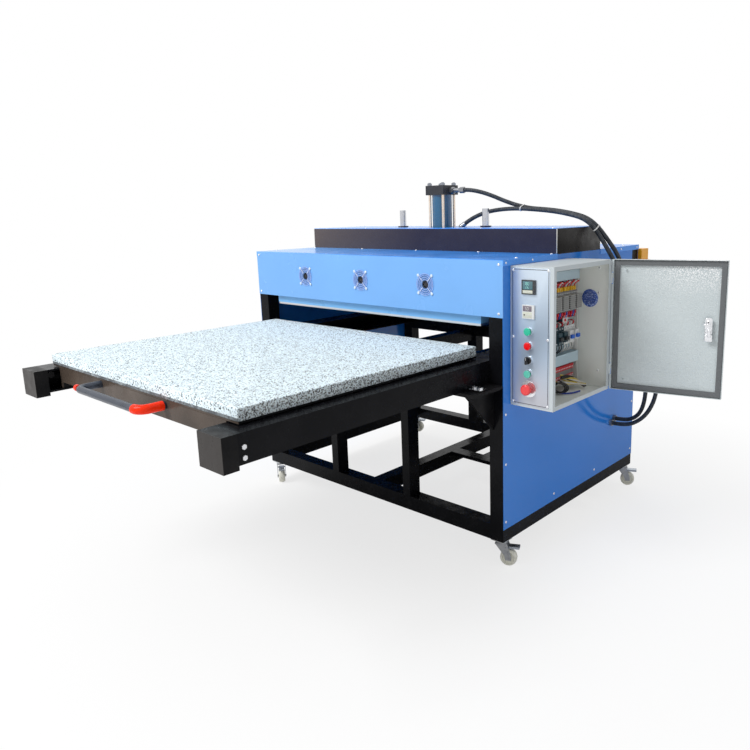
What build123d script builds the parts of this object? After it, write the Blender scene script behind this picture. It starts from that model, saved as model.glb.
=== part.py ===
from build123d import *
import math
import os

# Hydraulic heat press. X runs to the right, Y to the back and Z up from the floor, in millimetres.
# While it is built, X is zero in the middle of the frame and Y is zero at the front of its posts.
TUBE = 60
TUBE_WALL = 3
SHEET = 2
WHEEL_R = 32.5
TRAIL = 28
CASTER_H = 2 * WHEEL_R + 40
RAIL_TOP = CASTER_H + TUBE

# Sliding table, the room around it in the frame, and the channels that carry it.
PAD_W = 1200
PAD_D = 1000
PAD_T = 37
PAD_TOP = 840
PLATE_T = 6
BAR_H = 54
SIDE_GAP = 55
FRONT_GAP = 25
BACK_GAP = 30
RUN_GAP = 3
CHANNEL_W = 110
CHANNEL_H = 84
CHANNEL_T = 7
AXLE_R = 10
INNER = PAD_W / 2 + SIDE_GAP
HALF = INNER + TUBE
SKIN = HALF + SHEET
FRAME_D = FRONT_GAP + PAD_D + BACK_GAP
BACK = FRAME_D - TUBE
TABLE_FRONT = -PAD_D - 2
TABLE_BACK = TABLE_FRONT + PAD_D
TRAVEL = FRONT_GAP - TABLE_FRONT
RAIL_FRONT = TABLE_FRONT - 40
PLATE_Z = PAD_TOP - PAD_T - PLATE_T
TABLE_Z = PLATE_Z - BAR_H
CHANNEL_TOP = PLATE_Z - RUN_GAP
CHANNEL_Z = CHANNEL_TOP - CHANNEL_H
CHANNEL_X = INNER - CHANNEL_W
BEAM_Z = CHANNEL_Z - TUBE
ROLLER_R = (CHANNEL_H - 2 * CHANNEL_T - 4) / 2
ROLLER_Z = CHANNEL_Z + CHANNEL_T + ROLLER_R + 0.3
AXLE_YS = (TABLE_FRONT + 112, TABLE_BACK - 118)

# Pressing platen, cylinder and guides. The frame's top follows from the platen's stack.
STROKE = 70
PLATEN_T = 40
STIFF_H = 87
SEAT_T = 10
HEAD_ROOM = 101.7
HOOD_H = 200
BOX_H = 98
BEAM_WALL = 5
BARREL_R = 45
BARREL_WALL = 7.5
BARREL_H = 176
CAP_H = 42
ROD_R = 22.5
GUIDE_R = 15
GUIDE_X = 250
BUSH_R = 25
PORT_X = 112
PLATEN_Y = FRONT_GAP
PLATEN_Z = PAD_TOP + STROKE + 0.3
COVER_Z = PLATEN_Z + 9
COVER_TOP = PLATEN_Z + PLATEN_T + 3
STIFF_TOP = COVER_TOP + STIFF_H
SEAT_TOP = STIFF_TOP + SEAT_T
FRAME_TOP = SEAT_TOP + HEAD_ROOM
HOOD_Z = FRAME_TOP - HOOD_H
BOX_TOP = FRAME_TOP + BOX_H
AXIS_Y = PLATEN_Y + PAD_D / 2
BOX_Y0 = AXIS_Y - 172
BOX_Y1 = AXIS_Y + 168
CAP = 2 * BARREL_R + 15
BORE_R = BARREL_R - BARREL_WALL
TIE_X = CAP / 2 - 13.5
LOWER_CAP_Z = FRAME_TOP + 25
UPPER_CAP_Z = LOWER_CAP_Z + CAP_H + BARREL_H
GUIDE_TOP = BOX_TOP + 80

# Fans of the hood.
FAN_PITCH = 358
FAN_R = 38
FAN_XS = (-FAN_PITCH, 0, FAN_PITCH)
FAN_Z = FRAME_TOP - HOOD_H / 2

# Electrical cabinet, its door and the fittings on its front wall.
CAB_W = 176
CAB_D = 405
CAB_H = 500
CAB_T = 2
CAB_LIP = 16
CAB_X = SKIN
CAB_FACE = CAB_X + CAB_W
CAB_Y0 = 45
CAB_Y1 = CAB_Y0 + CAB_D
CAB_Z1 = FRAME_TOP - 20
CAB_Z0 = CAB_Z1 - CAB_H
DOOR_T = 16
DOOR_OPEN = 102
PANEL_X = CAB_X + 78
BUTTON_R = 10
HOSE_R = 9
FIT = 0.05
GAP = 0.3


def block(x0, x1, y0, y1, z0, z1):
    """Box between two corners."""
    return Pos((x0 + x1) / 2, (y0 + y1) / 2, (z0 + z1) / 2) * Box(x1 - x0, y1 - y0, z1 - z0)


def tube(x0, x1, y0, y1, z0, z1, wall=TUBE_WALL):
    """Rectangular tube along its longest side, open at both ends."""
    sizes = (x1 - x0, y1 - y0, z1 - z0)
    run = sizes.index(max(sizes))
    a, b, c = [0 if i == run else wall for i in range(3)]
    return block(x0, x1, y0, y1, z0, z1) - block(x0 + a, x1 - a, y0 + b, y1 - b, z0 + c, z1 - c)


def round_bar(start, along, radius, length):
    """Cylinder from the centre of its end face along a direction."""
    low = (Align.CENTER, Align.CENTER, Align.MIN)
    return Plane(origin=start, z_dir=along).location * Cylinder(radius, length, align=low)


def hexagon(start, along, across, length):
    """Hexagonal prism from the centre of its end face, given its width across flats."""
    return extrude(Plane(origin=start, z_dir=along) * RegularPolygon(across / 2, 6, major_radius=False),
                   length)


def both(shape):
    """The shape and its mirror image on the other side of the machine."""
    return [shape, mirror(shape, about=Plane.YZ)]


def group(*shapes):
    """One node made of several separate solids."""
    flat = []
    for shape in shapes:
        flat += shape if isinstance(shape, list) else [shape]
    return Compound([solid for shape in flat for solid in shape.solids()])


def fused(shapes):
    """The union of a list of shapes."""
    whole = shapes[0]
    for shape in shapes[1:]:
        whole = whole + shape
    return whole


def swept(points, radius, bend=None):
    """Round bar along straight runs with tangent arcs at the corners."""
    runs = [math.dist(a, b) for a, b in zip(points, points[1:])]
    radii = []
    for i in range(1, len(points) - 1):
        turn = (Vector(points[i]) - Vector(points[i - 1])).get_angle(Vector(points[i + 1])
                                                                     - Vector(points[i]))
        radii.append(bend or 0.45 * min(runs[i - 1], runs[i]) / math.tan(math.radians(turn) / 2))
    path = FilletPolyline(*points, radius=radii)
    start = Plane(origin=points[0], z_dir=Vector(points[1]) - Vector(points[0]))
    return sweep(start * Circle(radius), path=path), radii, path.length


parts = {}

# Welded frame: posts and uprights, the base, and the upper rails and beams.
corner_posts = [tube(x - TUBE / 2, x + TUBE / 2, y, y + TUBE, CASTER_H, FRAME_TOP)
                for x in (-HALF + TUBE / 2, HALF - TUBE / 2) for y in (0, BACK)]
front_upright = tube(HALF - 512, HALF - 472, 0, TUBE, RAIL_TOP, BEAM_Z)
back_upright = tube(HALF - 540, HALF - 480, BACK, FRAME_D, RAIL_TOP, BEAM_Z)
parts["frame_posts"] = group(corner_posts, both(front_upright), both(back_upright))

FLAT_Z = RAIL_TOP - 17
side_rail = tube(INNER, HALF, TUBE, BACK, CASTER_H, RAIL_TOP)
UNIT_X = HALF - 475
UNIT_Y = FRAME_D - 470
unit_cross = tube(TUBE / 2, INNER, UNIT_Y - 60, UNIT_Y, FLAT_Z, RAIL_TOP, 2)
unit_member = tube(UNIT_X - 60, UNIT_X, UNIT_Y, BACK, FLAT_Z, RAIL_TOP, 2)
unit_bearers = [tube(UNIT_X, INNER, y, y + 40, FLAT_Z, RAIL_TOP, 2) for y in (UNIT_Y + 75, UNIT_Y + 315)]
parts["base_rails"] = group([tube(-INNER, INNER, y, y + TUBE, CASTER_H, RAIL_TOP) for y in (0, BACK)],
                            both(side_rail), tube(-TUBE / 2, TUBE / 2, TUBE, BACK, CASTER_H, RAIL_TOP),
                            unit_cross, unit_member, unit_bearers)

top_side = tube(INNER, HALF, TUBE, BACK, FRAME_TOP - TUBE, FRAME_TOP)
bed_beam = tube(HALF - 523, HALF - 463, TUBE, BACK, BEAM_Z - 24, BEAM_Z + 36)
parts["upper_frame"] = group([tube(-INNER, INNER, y, y + TUBE, z, z + TUBE)
                              for y in (0, BACK) for z in (BEAM_Z, FRAME_TOP - TUBE)],
                             both(top_side), both(bed_beam))

# Channels in which the table runs, their end blocks, brackets and bolts.
channel = (block(CHANNEL_X, INNER, RAIL_FRONT, FRAME_D, CHANNEL_Z, CHANNEL_TOP)
           - block(CHANNEL_X, INNER - CHANNEL_T, RAIL_FRONT, FRAME_D, CHANNEL_Z + CHANNEL_T, CHANNEL_TOP
                   - CHANNEL_T))
parts["drawer_rails"] = group(both(channel))

end_block = block(CHANNEL_X, INNER, RAIL_FRONT - 46, RAIL_FRONT, CHANNEL_Z - 12, CHANNEL_TOP)
bracket = block(CHANNEL_X + 40, HALF, -170, 0, CHANNEL_Z - 12, CHANNEL_Z)
gusset_line = Polyline((-160, CHANNEL_Z - 12), (0, CHANNEL_Z - 12), (0, CHANNEL_Z - 172), close=True)
gusset = extrude(Plane(origin=(INNER + 10, 0, 0), x_dir=(0, 1, 0),
                       z_dir=(1, 0, 0)) * make_face(gusset_line), 10)
clip = block(INNER + 2, HALF - 5, -130, -85, CHANNEL_Z, CHANNEL_Z + 6)
clip_bolts = [hexagon((x, -108, CHANNEL_Z + 6), (0, 0, 1), 17, 7) for x in (INNER + 17, HALF - 18)]
web_bolts = [hexagon((INNER, RAIL_FRONT + 15, z), (1, 0, 0), 13, 5.5)
             for z in (CHANNEL_Z + 18, CHANNEL_Z + 47)]
stop_z = CHANNEL_TOP - 20
stop_y = RAIL_FRONT + 11
stop = (round_bar((INNER - CHANNEL_T, stop_y, stop_z), (-1, 0, 0), 8, 94)
        + hexagon((CHANNEL_X + 2, stop_y, stop_z), (1, 0, 0), 22, 14))
ends = [end_block, bracket + gusset, clip, stop] + clip_bolts + web_bolts
parts["rail_ends"] = group([copy for shape in ends for copy in both(shape)])

# Head: two cross beams, end plates, the centre plate with guide bushes, and the cylinder on it.
centre = block(-GUIDE_X - 80, GUIDE_X + 80, BOX_Y0 + TUBE, BOX_Y1 - TUBE, FRAME_TOP, LOWER_CAP_Z)
bushes = []
for x in (-GUIDE_X, GUIDE_X):
    guide_bore = round_bar((x, AXIS_Y, FRAME_TOP), (0, 0, 1), GUIDE_R + FIT, BOX_TOP + 6 - FRAME_TOP)
    bushes.append(round_bar((x, AXIS_Y, LOWER_CAP_Z), (0, 0, 1), BUSH_R, BOX_TOP + 6 - LOWER_CAP_Z)
                  - guide_bore)
    centre = centre - guide_bore
rod_bore = round_bar((0, AXIS_Y, FRAME_TOP), (0, 0, 1), ROD_R + FIT, 100)
end_plate = block(HALF - 6, HALF, BOX_Y0 + TUBE, BOX_Y1 - TUBE, FRAME_TOP, BOX_TOP - SHEET)
parts["press_beams"] = group([tube(-HALF, HALF, y, y + TUBE, FRAME_TOP, BOX_TOP - SHEET, BEAM_WALL)
                              for y in (BOX_Y0, BOX_Y1 - TUBE)], both(end_plate), centre - rod_bore, bushes)

tie_spots = [(x, AXIS_Y + y) for x in (-TIE_X, TIE_X) for y in (-TIE_X, TIE_X)]
lower_cap = block(-CAP / 2, CAP / 2, AXIS_Y - CAP / 2, AXIS_Y + CAP / 2, LOWER_CAP_Z, LOWER_CAP_Z
                  + CAP_H) - rod_bore
upper_cap = block(-CAP / 2, CAP / 2, AXIS_Y - CAP / 2, AXIS_Y + CAP / 2, UPPER_CAP_Z, UPPER_CAP_Z + CAP_H)
for x, y in tie_spots:
    tie_bore = round_bar((x, y, LOWER_CAP_Z + 10), (0, 0, 1), 6 + FIT, 300)
    lower_cap = lower_cap - tie_bore
    upper_cap = upper_cap - tie_bore
parts["cylinder_caps"] = group(lower_cap, upper_cap)
barrel_z = LOWER_CAP_Z + CAP_H
parts["cylinder_barrel"] = (round_bar((0, AXIS_Y, barrel_z), (0, 0, 1), BARREL_R, UPPER_CAP_Z - barrel_z)
                            - round_bar((0, AXIS_Y, barrel_z), (0, 0, 1), BORE_R, UPPER_CAP_Z - barrel_z))
parts["tie_rods"] = group([round_bar((x, y, LOWER_CAP_Z + 10), (0, 0, 1), 6, UPPER_CAP_Z + CAP_H + 3
                                     - LOWER_CAP_Z)
                           + hexagon((x, y, UPPER_CAP_Z + CAP_H), (0, 0, 1), 19, 10) for x, y in tie_spots])

# Blue sheet panels.
front_top = (block(-SKIN - SHEET, SKIN + SHEET, -SHEET, BOX_Y0, FRAME_TOP, FRAME_TOP + SHEET)
             + fused(both(block(SKIN, SKIN + SHEET, -SHEET, BOX_Y0, FRAME_TOP - 19, FRAME_TOP))))
back_top = (block(-SKIN - SHEET, SKIN + SHEET, BOX_Y1, FRAME_D + SHEET, FRAME_TOP, FRAME_TOP + SHEET)
            + fused(both(block(SKIN, SKIN + SHEET, BOX_Y1, FRAME_D + SHEET, FRAME_TOP - 19, FRAME_TOP))))
lid = block(-HALF, HALF, BOX_Y0, BOX_Y1, BOX_TOP - SHEET, BOX_TOP)
lid = lid - block(-CAP / 2 - 1, CAP / 2 + 1, AXIS_Y - CAP / 2 - 1, AXIS_Y + CAP / 2 + 1, BOX_TOP - SHEET,
                  BOX_TOP)
for x, r in ((-GUIDE_X, BUSH_R), (GUIDE_X, BUSH_R), (PORT_X, 17)):
    lid = lid - round_bar((x, AXIS_Y, BOX_TOP - SHEET), (0, 0, 1), r + GAP, SHEET)
parts["top_panels"] = group(front_top, back_top, lid)

front_panel = block(-SKIN, SKIN, -SHEET, 0, HOOD_Z, FRAME_TOP)
for x in FAN_XS:
    front_panel = front_panel - round_bar((x, -SHEET, FAN_Z), (0, 1, 0), FAN_R, SHEET)
parts["hood_front_panel"] = front_panel

GLANDS = ((FRAME_D - 195, RAIL_TOP + 216), (FRAME_D - 227, RAIL_TOP + 202))
upper_side = block(HALF, SKIN, 0, BACK, HOOD_Z, FRAME_TOP)
lower_side = block(HALF, SKIN, 0, FRAME_D, RAIL_TOP - 9, HOOD_Z)
right_lower = lower_side
for y, z in GLANDS:
    right_lower = right_lower - round_bar((HALF, y, z), (1, 0, 0), 8, SHEET)
parts["side_panels"] = group(both(upper_side), right_lower, mirror(lower_side, about=Plane.YZ))
parts["back_panel"] = block(-HALF, HALF, FRAME_D, FRAME_D + SHEET, BEAM_Z - 4, FRAME_TOP)

# Three fans: square frames with a motor carrier, wire guards in front, and rotors that turn.
fans = []
for x in FAN_XS:
    rim = FAN_R + 2
    frame = block(x - rim, x + rim, 0, 25, FAN_Z - rim, FAN_Z + rim) - round_bar((x, 0, FAN_Z), (0, 1, 0),
                                                                                 FAN_R, 25)
    carrier = round_bar((x, 20, FAN_Z), (0, 1, 0), 16, 5) - round_bar((x, 20, FAN_Z), (0, 1, 0), 2 + FIT, 5)
    struts = [block(x + a, x + a + FAN_R - 14, 21, 25, FAN_Z - 3, FAN_Z + 3) for a in (-FAN_R - 1, 15)]
    fans.append(frame + carrier + struts[0] + struts[1])
    guard = []
    for r in (FAN_R - 26, FAN_R - 18, FAN_R - 10, FAN_R - 2, FAN_R + 4):
        guard.append(round_bar((x, -6, FAN_Z), (0, 1, 0), r, 1.5)
                     - round_bar((x, -6, FAN_Z), (0, 1, 0), r - 1.6, 1.5))
    for turn in (45, 135):
        guard.append(Pos(x, -3.75, FAN_Z) * Rot(0, turn, 0) * Box(2 * FAN_R + 20, 1.5, 2))
    for sx in (4 - FAN_R, FAN_R - 4):
        for sz in (4 - FAN_R, FAN_R - 4):
            guard.append(round_bar((x + sx, -SHEET, FAN_Z + sz), (0, -1, 0), 3.5, 4))
    fans.append(fused(guard))
parts["hood_fans"] = group(fans)
for name, x in zip(("left", "middle", "right"), FAN_XS):
    hub = round_bar((x, 4, FAN_Z), (0, 1, 0), 15, 15) + round_bar((x, 19, FAN_Z), (0, 1, 0), 2, 5)
    reach = FAN_R - 15.5
    blade = Pos(13.75 + reach / 2, 0, 0) * Rot(35, 0, 0) * Box(reach, 1.5, 15)
    blades = [Pos(x, 11.5, FAN_Z) * Rot(0, 360 / 7 * i, 0) * blade for i in range(7)]
    parts["fan_rotor_" + name] = fused([hub] + blades)

# Platen: heating plate, sheet cover, stiffening frame, piston rod and guide rods.
platen_x = PAD_W / 2
platen_back = PLATEN_Y + PAD_D
parts["heat_plate"] = block(-platen_x, platen_x, PLATEN_Y, platen_back, PLATEN_Z, PLATEN_Z + PLATEN_T)
parts["platen_cover"] = (
    block(-platen_x - SHEET, platen_x + SHEET, PLATEN_Y - SHEET, platen_back + SHEET, COVER_Z, COVER_TOP)
    - block(-platen_x, platen_x, PLATEN_Y, platen_back, COVER_Z, PLATEN_Z + PLATEN_T))
cross_x = platen_x - 40
cross_ys = ((PLATEN_Y + 210, PLATEN_Y + 270), (AXIS_Y - 40, AXIS_Y + 40),
            (platen_back - 270, platen_back - 210))
stiffeners = []
for y0, y1 in cross_ys:
    stiffeners.append(tube(5 - cross_x, cross_x - 5, y0, y1, COVER_TOP, STIFF_TOP, BEAM_WALL))
    stiffeners += both(block(cross_x - 5, cross_x, y0, y1, COVER_TOP, STIFF_TOP))
stops = [PLATEN_Y + 50] + [y for pair in cross_ys for y in pair] + [platen_back - 50]
for y0, y1 in zip(stops[::2], stops[1::2]):
    segment = block(cross_x - 90, cross_x - 30, y0, y1, COVER_TOP, STIFF_TOP)
    stiffeners += both(segment - block(cross_x - 85, cross_x - 35, y0, y1, COVER_TOP + BEAM_WALL,
                                       STIFF_TOP - BEAM_WALL))
seats = [round_bar((x, AXIS_Y, STIFF_TOP), (0, 0, 1), 38, SEAT_T) for x in (-GUIDE_X, 0, GUIDE_X)]
parts["platen_frame"] = group(stiffeners, seats)
piston_z = UPPER_CAP_Z - 50
piston = (round_bar((0, AXIS_Y, SEAT_TOP), (0, 0, 1), ROD_R, piston_z - SEAT_TOP)
          + round_bar((0, AXIS_Y, piston_z), (0, 0, 1), BORE_R - FIT, 40))
guides = [round_bar((x, AXIS_Y, SEAT_TOP), (0, 0, 1), GUIDE_R, GUIDE_TOP - SEAT_TOP)
          for x in (-GUIDE_X, GUIDE_X)]
parts["platen_rods"] = group(piston, guides)

# Sliding table: frame with its top plate, felt pad, handle with grips, and two wheelsets.
side_x = CHANNEL_X - 2
side_plate = block(side_x - 12, side_x, TABLE_FRONT + 1, TABLE_BACK - 1, CHANNEL_Z + 12, PLATE_Z)
for y in AXLE_YS:
    side_plate = side_plate - round_bar((side_x - 12, y, ROLLER_Z), (1, 0, 0), AXLE_R + FIT, 12)
bar_x = side_x - 12
bars = [tube(-bar_x, bar_x, y, y + 60, TABLE_Z, PLATE_Z)
        for y in (TABLE_FRONT + 1, TABLE_FRONT + 312, TABLE_FRONT + 632, TABLE_BACK - 61)]
top_plate = block(2 - platen_x, platen_x - 2, TABLE_FRONT + 2, TABLE_BACK - 2, PLATE_Z, PLATE_Z + PLATE_T)
parts["table_frame"] = fused([top_plate] + both(side_plate) + bars)
parts["table_pad"] = block(-platen_x, platen_x, TABLE_FRONT, TABLE_BACK, PAD_TOP - PAD_T, PAD_TOP)

HANDLE_Z = PLATE_Z - 12
HANDLE_R = 12
leg_y = TABLE_FRONT + 1
bar_y = leg_y - 77
left_x = -202
right_x = 222
handle_line = [(left_x, leg_y, HANDLE_Z), (left_x, bar_y, HANDLE_Z), (right_x, bar_y, HANDLE_Z),
               (right_x, leg_y, HANDLE_Z)]
handle = swept(handle_line, HANDLE_R, 30)[0]
parts["handle"] = handle
grip_line = [(right_x, leg_y - 8, HANDLE_Z), (right_x, bar_y, HANDLE_Z), (right_x - 34, bar_y, HANDLE_Z)]
plug = round_bar((left_x - 16, bar_y + 5, HANDLE_Z), (1, 0, 0), HANDLE_R - 1, 16)
parts["handle_grips"] = group(swept(grip_line, HANDLE_R + 2.5, 30)[0] - handle, plug - handle)

for name, y in zip(("front", "back"), AXLE_YS):
    axle = round_bar((-CHANNEL_X - 55, y, ROLLER_Z), (1, 0, 0), AXLE_R, 2 * CHANNEL_X + 110)
    rollers = [round_bar((x, y, ROLLER_Z), (1, 0, 0), ROLLER_R, 40)
               for x in (-CHANNEL_X - 51, CHANNEL_X + 11)]
    parts["wheelset_" + name] = fused([axle] + rollers)

# Power unit in the base and the pipes from its valve block to the side panel.
TANK_TOP = RAIL_TOP + 260
tank_x = UNIT_X + 25
tank_y = UNIT_Y + 55
tank = block(tank_x, tank_x + 335, tank_y, tank_y + 320, RAIL_TOP, TANK_TOP)
lid_plate = block(tank_x - 10, tank_x + 345, tank_y - 10, tank_y + 330, TANK_TOP, TANK_TOP + 4)
filler = round_bar((tank_x + 55, tank_y + 60, TANK_TOP + 4), (0, 0, 1), 24, 40)
VALVE_X = tank_x + 395
valve = block(tank_x + 335, VALVE_X, tank_y + 150, tank_y + 260, TANK_TOP - 90, TANK_TOP - 10)
parts["hydraulic_tank"] = group(tank, lid_plate, filler, valve)
motor_x = tank_x + 205
motor_y = tank_y + 160
motor = round_bar((motor_x, motor_y, TANK_TOP + 16), (0, 0, 1), 78, 150)
terminal_box = block(motor_x + 60, motor_x + 110, motor_y - 35, motor_y + 35, TANK_TOP + 55, TANK_TOP
                     + 135) - motor
parts["pump_motor"] = group(round_bar((motor_x, motor_y, TANK_TOP + 4), (0, 0, 1), 100, 12), motor,
                            terminal_box,
                            round_bar((motor_x, motor_y, TANK_TOP + 166), (0, 0, 1), 70, 25))

# Hoses from the cylinder over the side of the machine to the glands in the side panel.
elbow = (PORT_X, AXIS_Y, BOX_TOP + 2)
lift = Vector(0.7, 0.38, 0.6).normalized()
lower_end = Vector(*elbow) + lift * 22
lower_bend = lower_end + lift * 70
port_z = UPPER_CAP_Z + 18
port_end = CAP / 2 + 81.5
hose_routes = {
    "hose_one": [(port_end, AXIS_Y, port_z), (208, AXIS_Y, port_z), (372, 607, 1331), (545, 610, 1318),
                 (650, 607, 1299),
                 (704, 607, 1282), (740, 617, 1252), (766, 646, 1206), (816, 680, 1118), (846, 726,
                                                                                          955),
                                                                                          (880, 780, 780),
                 (882, 826, 612), (871, 845, 503), (852, 852, 438), (820, 858, 400.5), (SKIN + 59, 860, 381),
                 (SKIN + 12, *GLANDS[0])],
    "hose_two": [tuple(lower_end), tuple(lower_bend), (335, 576, 1331), (540, 583, 1316), (647, 580, 1297),
                 (700, 582, 1281), (736, 592, 1251), (757, 616, 1209), (804, 640, 1118), (872, 692,
                                                                                          950),
                                                                                          (917, 750, 790),
                 (936, 806, 640), (926, 834, 535), (900, 834, 458), (858, 832, 403), (SKIN + 78, 828, 367),
                 (SKIN + 12, *GLANDS[1])]}
hose_checks = []
for name, points in hose_routes.items():
    solid, radii, length = swept(points, HOSE_R)
    parts[name] = solid
    hose_checks.append((name, [round(r) for r in radii], round(length),
                        solid.volume / (math.pi * HOSE_R ** 2 * length)))

cap_side = CAP / 2
port = fused([hexagon((cap_side, AXIS_Y, port_z), (1, 0, 0), 27, 22),
              round_bar((cap_side + 22, AXIS_Y, port_z), (1, 0, 0), 10, 34),
              hexagon((cap_side + 56, AXIS_Y, port_z), (1, 0, 0), 24, port_end - cap_side - 56)])
stub_z = LOWER_CAP_Z + 21
lower_port = fused([round_bar((cap_side, AXIS_Y, stub_z), (1, 0, 0), 10, PORT_X - cap_side),
                    Pos(PORT_X, AXIS_Y, stub_z) * Sphere(13),
                    round_bar((PORT_X, AXIS_Y, stub_z), (0, 0, 1), 10, BOX_TOP + 2
                              - stub_z), Pos(*elbow) * Sphere(12),
                    round_bar(elbow, lift, 11, 22)])
glands = []
for y, z in GLANDS:
    glands.append(fused([round_bar((VALVE_X, y, z), (1, 0, 0), 7, SKIN - VALVE_X),
                         hexagon((SKIN, y, z), (1, 0, 0), 26, 12)]))
parts["hose_fittings"] = group(port, lower_port, glands)

# Cabinet on the right side: shell with a lip around its open face, and its door.
cabinet = (block(CAB_X, CAB_FACE, CAB_Y0, CAB_Y1, CAB_Z0, CAB_Z1)
           - block(CAB_X + CAB_T, CAB_FACE - CAB_T, CAB_Y0 + CAB_T, CAB_Y1 - CAB_T, CAB_Z0 + CAB_T, CAB_Z1
                   - CAB_T)
           - block(CAB_FACE - CAB_T, CAB_FACE, CAB_Y0 + CAB_LIP, CAB_Y1 - CAB_LIP, CAB_Z0 + CAB_LIP,
                   CAB_Z1 - CAB_LIP))
METERS = ((CAB_Z1 - 0.142 * CAB_H, 54, 50), (CAB_Z1 - 0.312 * CAB_H, 48, 48))
BUTTONS = (("green_button_upper", CAB_Z1 - 0.45 * CAB_H), ("red_button", CAB_Z1 - 0.552 * CAB_H),
           ("green_button_lower", CAB_Z1 - 0.752 * CAB_H))
SELECTOR_Z = CAB_Z1 - 0.654 * CAB_H
STOP_Z = CAB_Z1 - 0.862 * CAB_H
for z, w, h in METERS:
    cabinet = cabinet - block(PANEL_X - w / 2 + 2, PANEL_X + w / 2 - 2, CAB_Y0, CAB_Y0 + CAB_T, z - h / 2
                              + 2, z + h / 2 - 2)
for z in [z for name, z in BUTTONS] + [SELECTOR_Z, STOP_Z]:
    cabinet = cabinet - round_bar((PANEL_X, CAB_Y0, z), (0, 1, 0), BUTTON_R + 1.2, CAB_T)
VENT_X = CAB_X + 91
VENT_Z = CAB_Z1 - 0.302 * CAB_H
cabinet = cabinet - round_bar((VENT_X, CAB_Y1 - CAB_T, VENT_Z), (0, 1, 0), 27, CAB_T)

hinge_x = CAB_FACE + GAP / 2
hinge_y = CAB_Y1 + 5
hinge = Pos(hinge_x, hinge_y, 0)
swing = hinge * Rot(0, 0, DOOR_OPEN) * hinge.inverse()
door_x = CAB_FACE + GAP
door_y0 = CAB_Y0 + 3
door_y1 = CAB_Y1 - 1
HINGE_ZS = (CAB_Z0 + 60, CAB_Z1 - 90)
door = (block(door_x, door_x + DOOR_T, door_y0, door_y1, CAB_Z0, CAB_Z1)
        - block(door_x, door_x + DOOR_T - 1.5, door_y0 + 1.5, door_y1 - 1.5, CAB_Z0 + 1.5, CAB_Z1 - 1.5))
for z in HINGE_ZS:
    leaf = block(CAB_FACE - 14, hinge_x, CAB_Y1, CAB_Y1 + 2, z, z + 20)
    cabinet = cabinet + leaf + round_bar((hinge_x, hinge_y, z), (0, 0, 1), 4.5, 20)
    cabinet = cabinet - round_bar((hinge_x, hinge_y, z), (0, 0, 1), 2 + FIT, 20)
    leaf = block(door_x + 0.5, door_x + 13, door_y1, hinge_y - 3, z + 20 + GAP, z + 40)
    door = door + leaf + round_bar((hinge_x, hinge_y, z + 20 + GAP), (0, 0, 1), 4.5, 20 - GAP)
    door = door + round_bar((hinge_x, hinge_y, z), (0, 0, 1), 2, 30)
parts["control_box"] = cabinet
LOCK_Y = door_y0 + 55
LOCK_Z = (CAB_Z0 + CAB_Z1) / 2
door = door - round_bar((door_x, LOCK_Y, LOCK_Z), (1, 0, 0), 10 + FIT, DOOR_T)
for y, z in ((CAB_Y1 - 45, CAB_Z0 + 38), (CAB_Y1 - 45, CAB_Z1 - 38)):
    door = door + round_bar((door_x + DOOR_T - 1.5, y, z), (-1, 0, 0), 3, 11)
parts["door"] = swing * door
seal_x = door_x + DOOR_T - 1.5
parts["door_gasket"] = swing * (block(seal_x - 8, seal_x, door_y0 + 4, door_y1 - 4, CAB_Z0 + 4, CAB_Z1 - 4)
                                - block(seal_x - 8, seal_x, door_y0 + 22, door_y1 - 22, CAB_Z0 + 22,
                                        CAB_Z1 - 22))
lock = (round_bar((door_x + DOOR_T, LOCK_Y, LOCK_Z), (-1, 0, 0), 10, 15)
        + round_bar((door_x + DOOR_T + GAP, LOCK_Y, LOCK_Z), (1, 0, 0), 14, 3)
        + round_bar((door_x + DOOR_T, LOCK_Y, LOCK_Z), (1, 0, 0), 10, GAP)
        + block(door_x + 1, door_x + 4, LOCK_Y - 8, LOCK_Y + 8, LOCK_Z - 8, LOCK_Z + 40))
parts["door_lock"] = swing * lock

# Fittings on the front wall, the vent in the back wall, and the buttons that move in them.
fittings = []
for z, w, h in METERS:
    face = block(PANEL_X - w / 2, PANEL_X + w / 2, CAB_Y0 - 8, CAB_Y0, z - h / 2, z + h / 2)
    body = block(PANEL_X - w / 2 + 2.5, PANEL_X + w / 2 - 2.5, CAB_Y0, CAB_Y0 + 70, z - h / 2 + 2.5, z
                 + h / 2 - 2.5)
    fittings.append(face + body)
for z in [z for name, z in BUTTONS] + [SELECTOR_Z, STOP_Z]:
    ring = round_bar((PANEL_X, CAB_Y0, z), (0, -1, 0), 30 if z == STOP_Z else BUTTON_R + 4.5, 2
                     if z == STOP_Z else 7)
    switch = round_bar((PANEL_X, CAB_Y0, z), (0, 1, 0), BUTTON_R + 1, 20) + block(PANEL_X - 15, PANEL_X
                                                                                  + 15, CAB_Y0 + 20,
                                                                                  CAB_Y0 + 50, z - 20, z
                                                                                  + 20)
    fittings.append(ring + switch - round_bar((PANEL_X, CAB_Y0 - 10, z), (0, 1, 0), BUTTON_R + 0.2, 24))
vent = (round_bar((VENT_X, CAB_Y1, VENT_Z), (0, 1, 0), 30, 5)
        - round_bar((VENT_X, CAB_Y1, VENT_Z), (0, 1, 0), 24, 3)
        + round_bar((VENT_X, CAB_Y1, VENT_Z), (0, -1, 0), 26.8, 6))
for x in range(-20, 21, 10):
    for z in range(-20, 21, 10):
        if math.hypot(x, z) < 23:
            vent = vent - block(VENT_X + x - 3, VENT_X + x + 3, CAB_Y1 - 6, CAB_Y1 + 5, VENT_Z + z - 3,
                                VENT_Z + z + 3)
parts["panel_fittings"] = group(fittings, vent)

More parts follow.
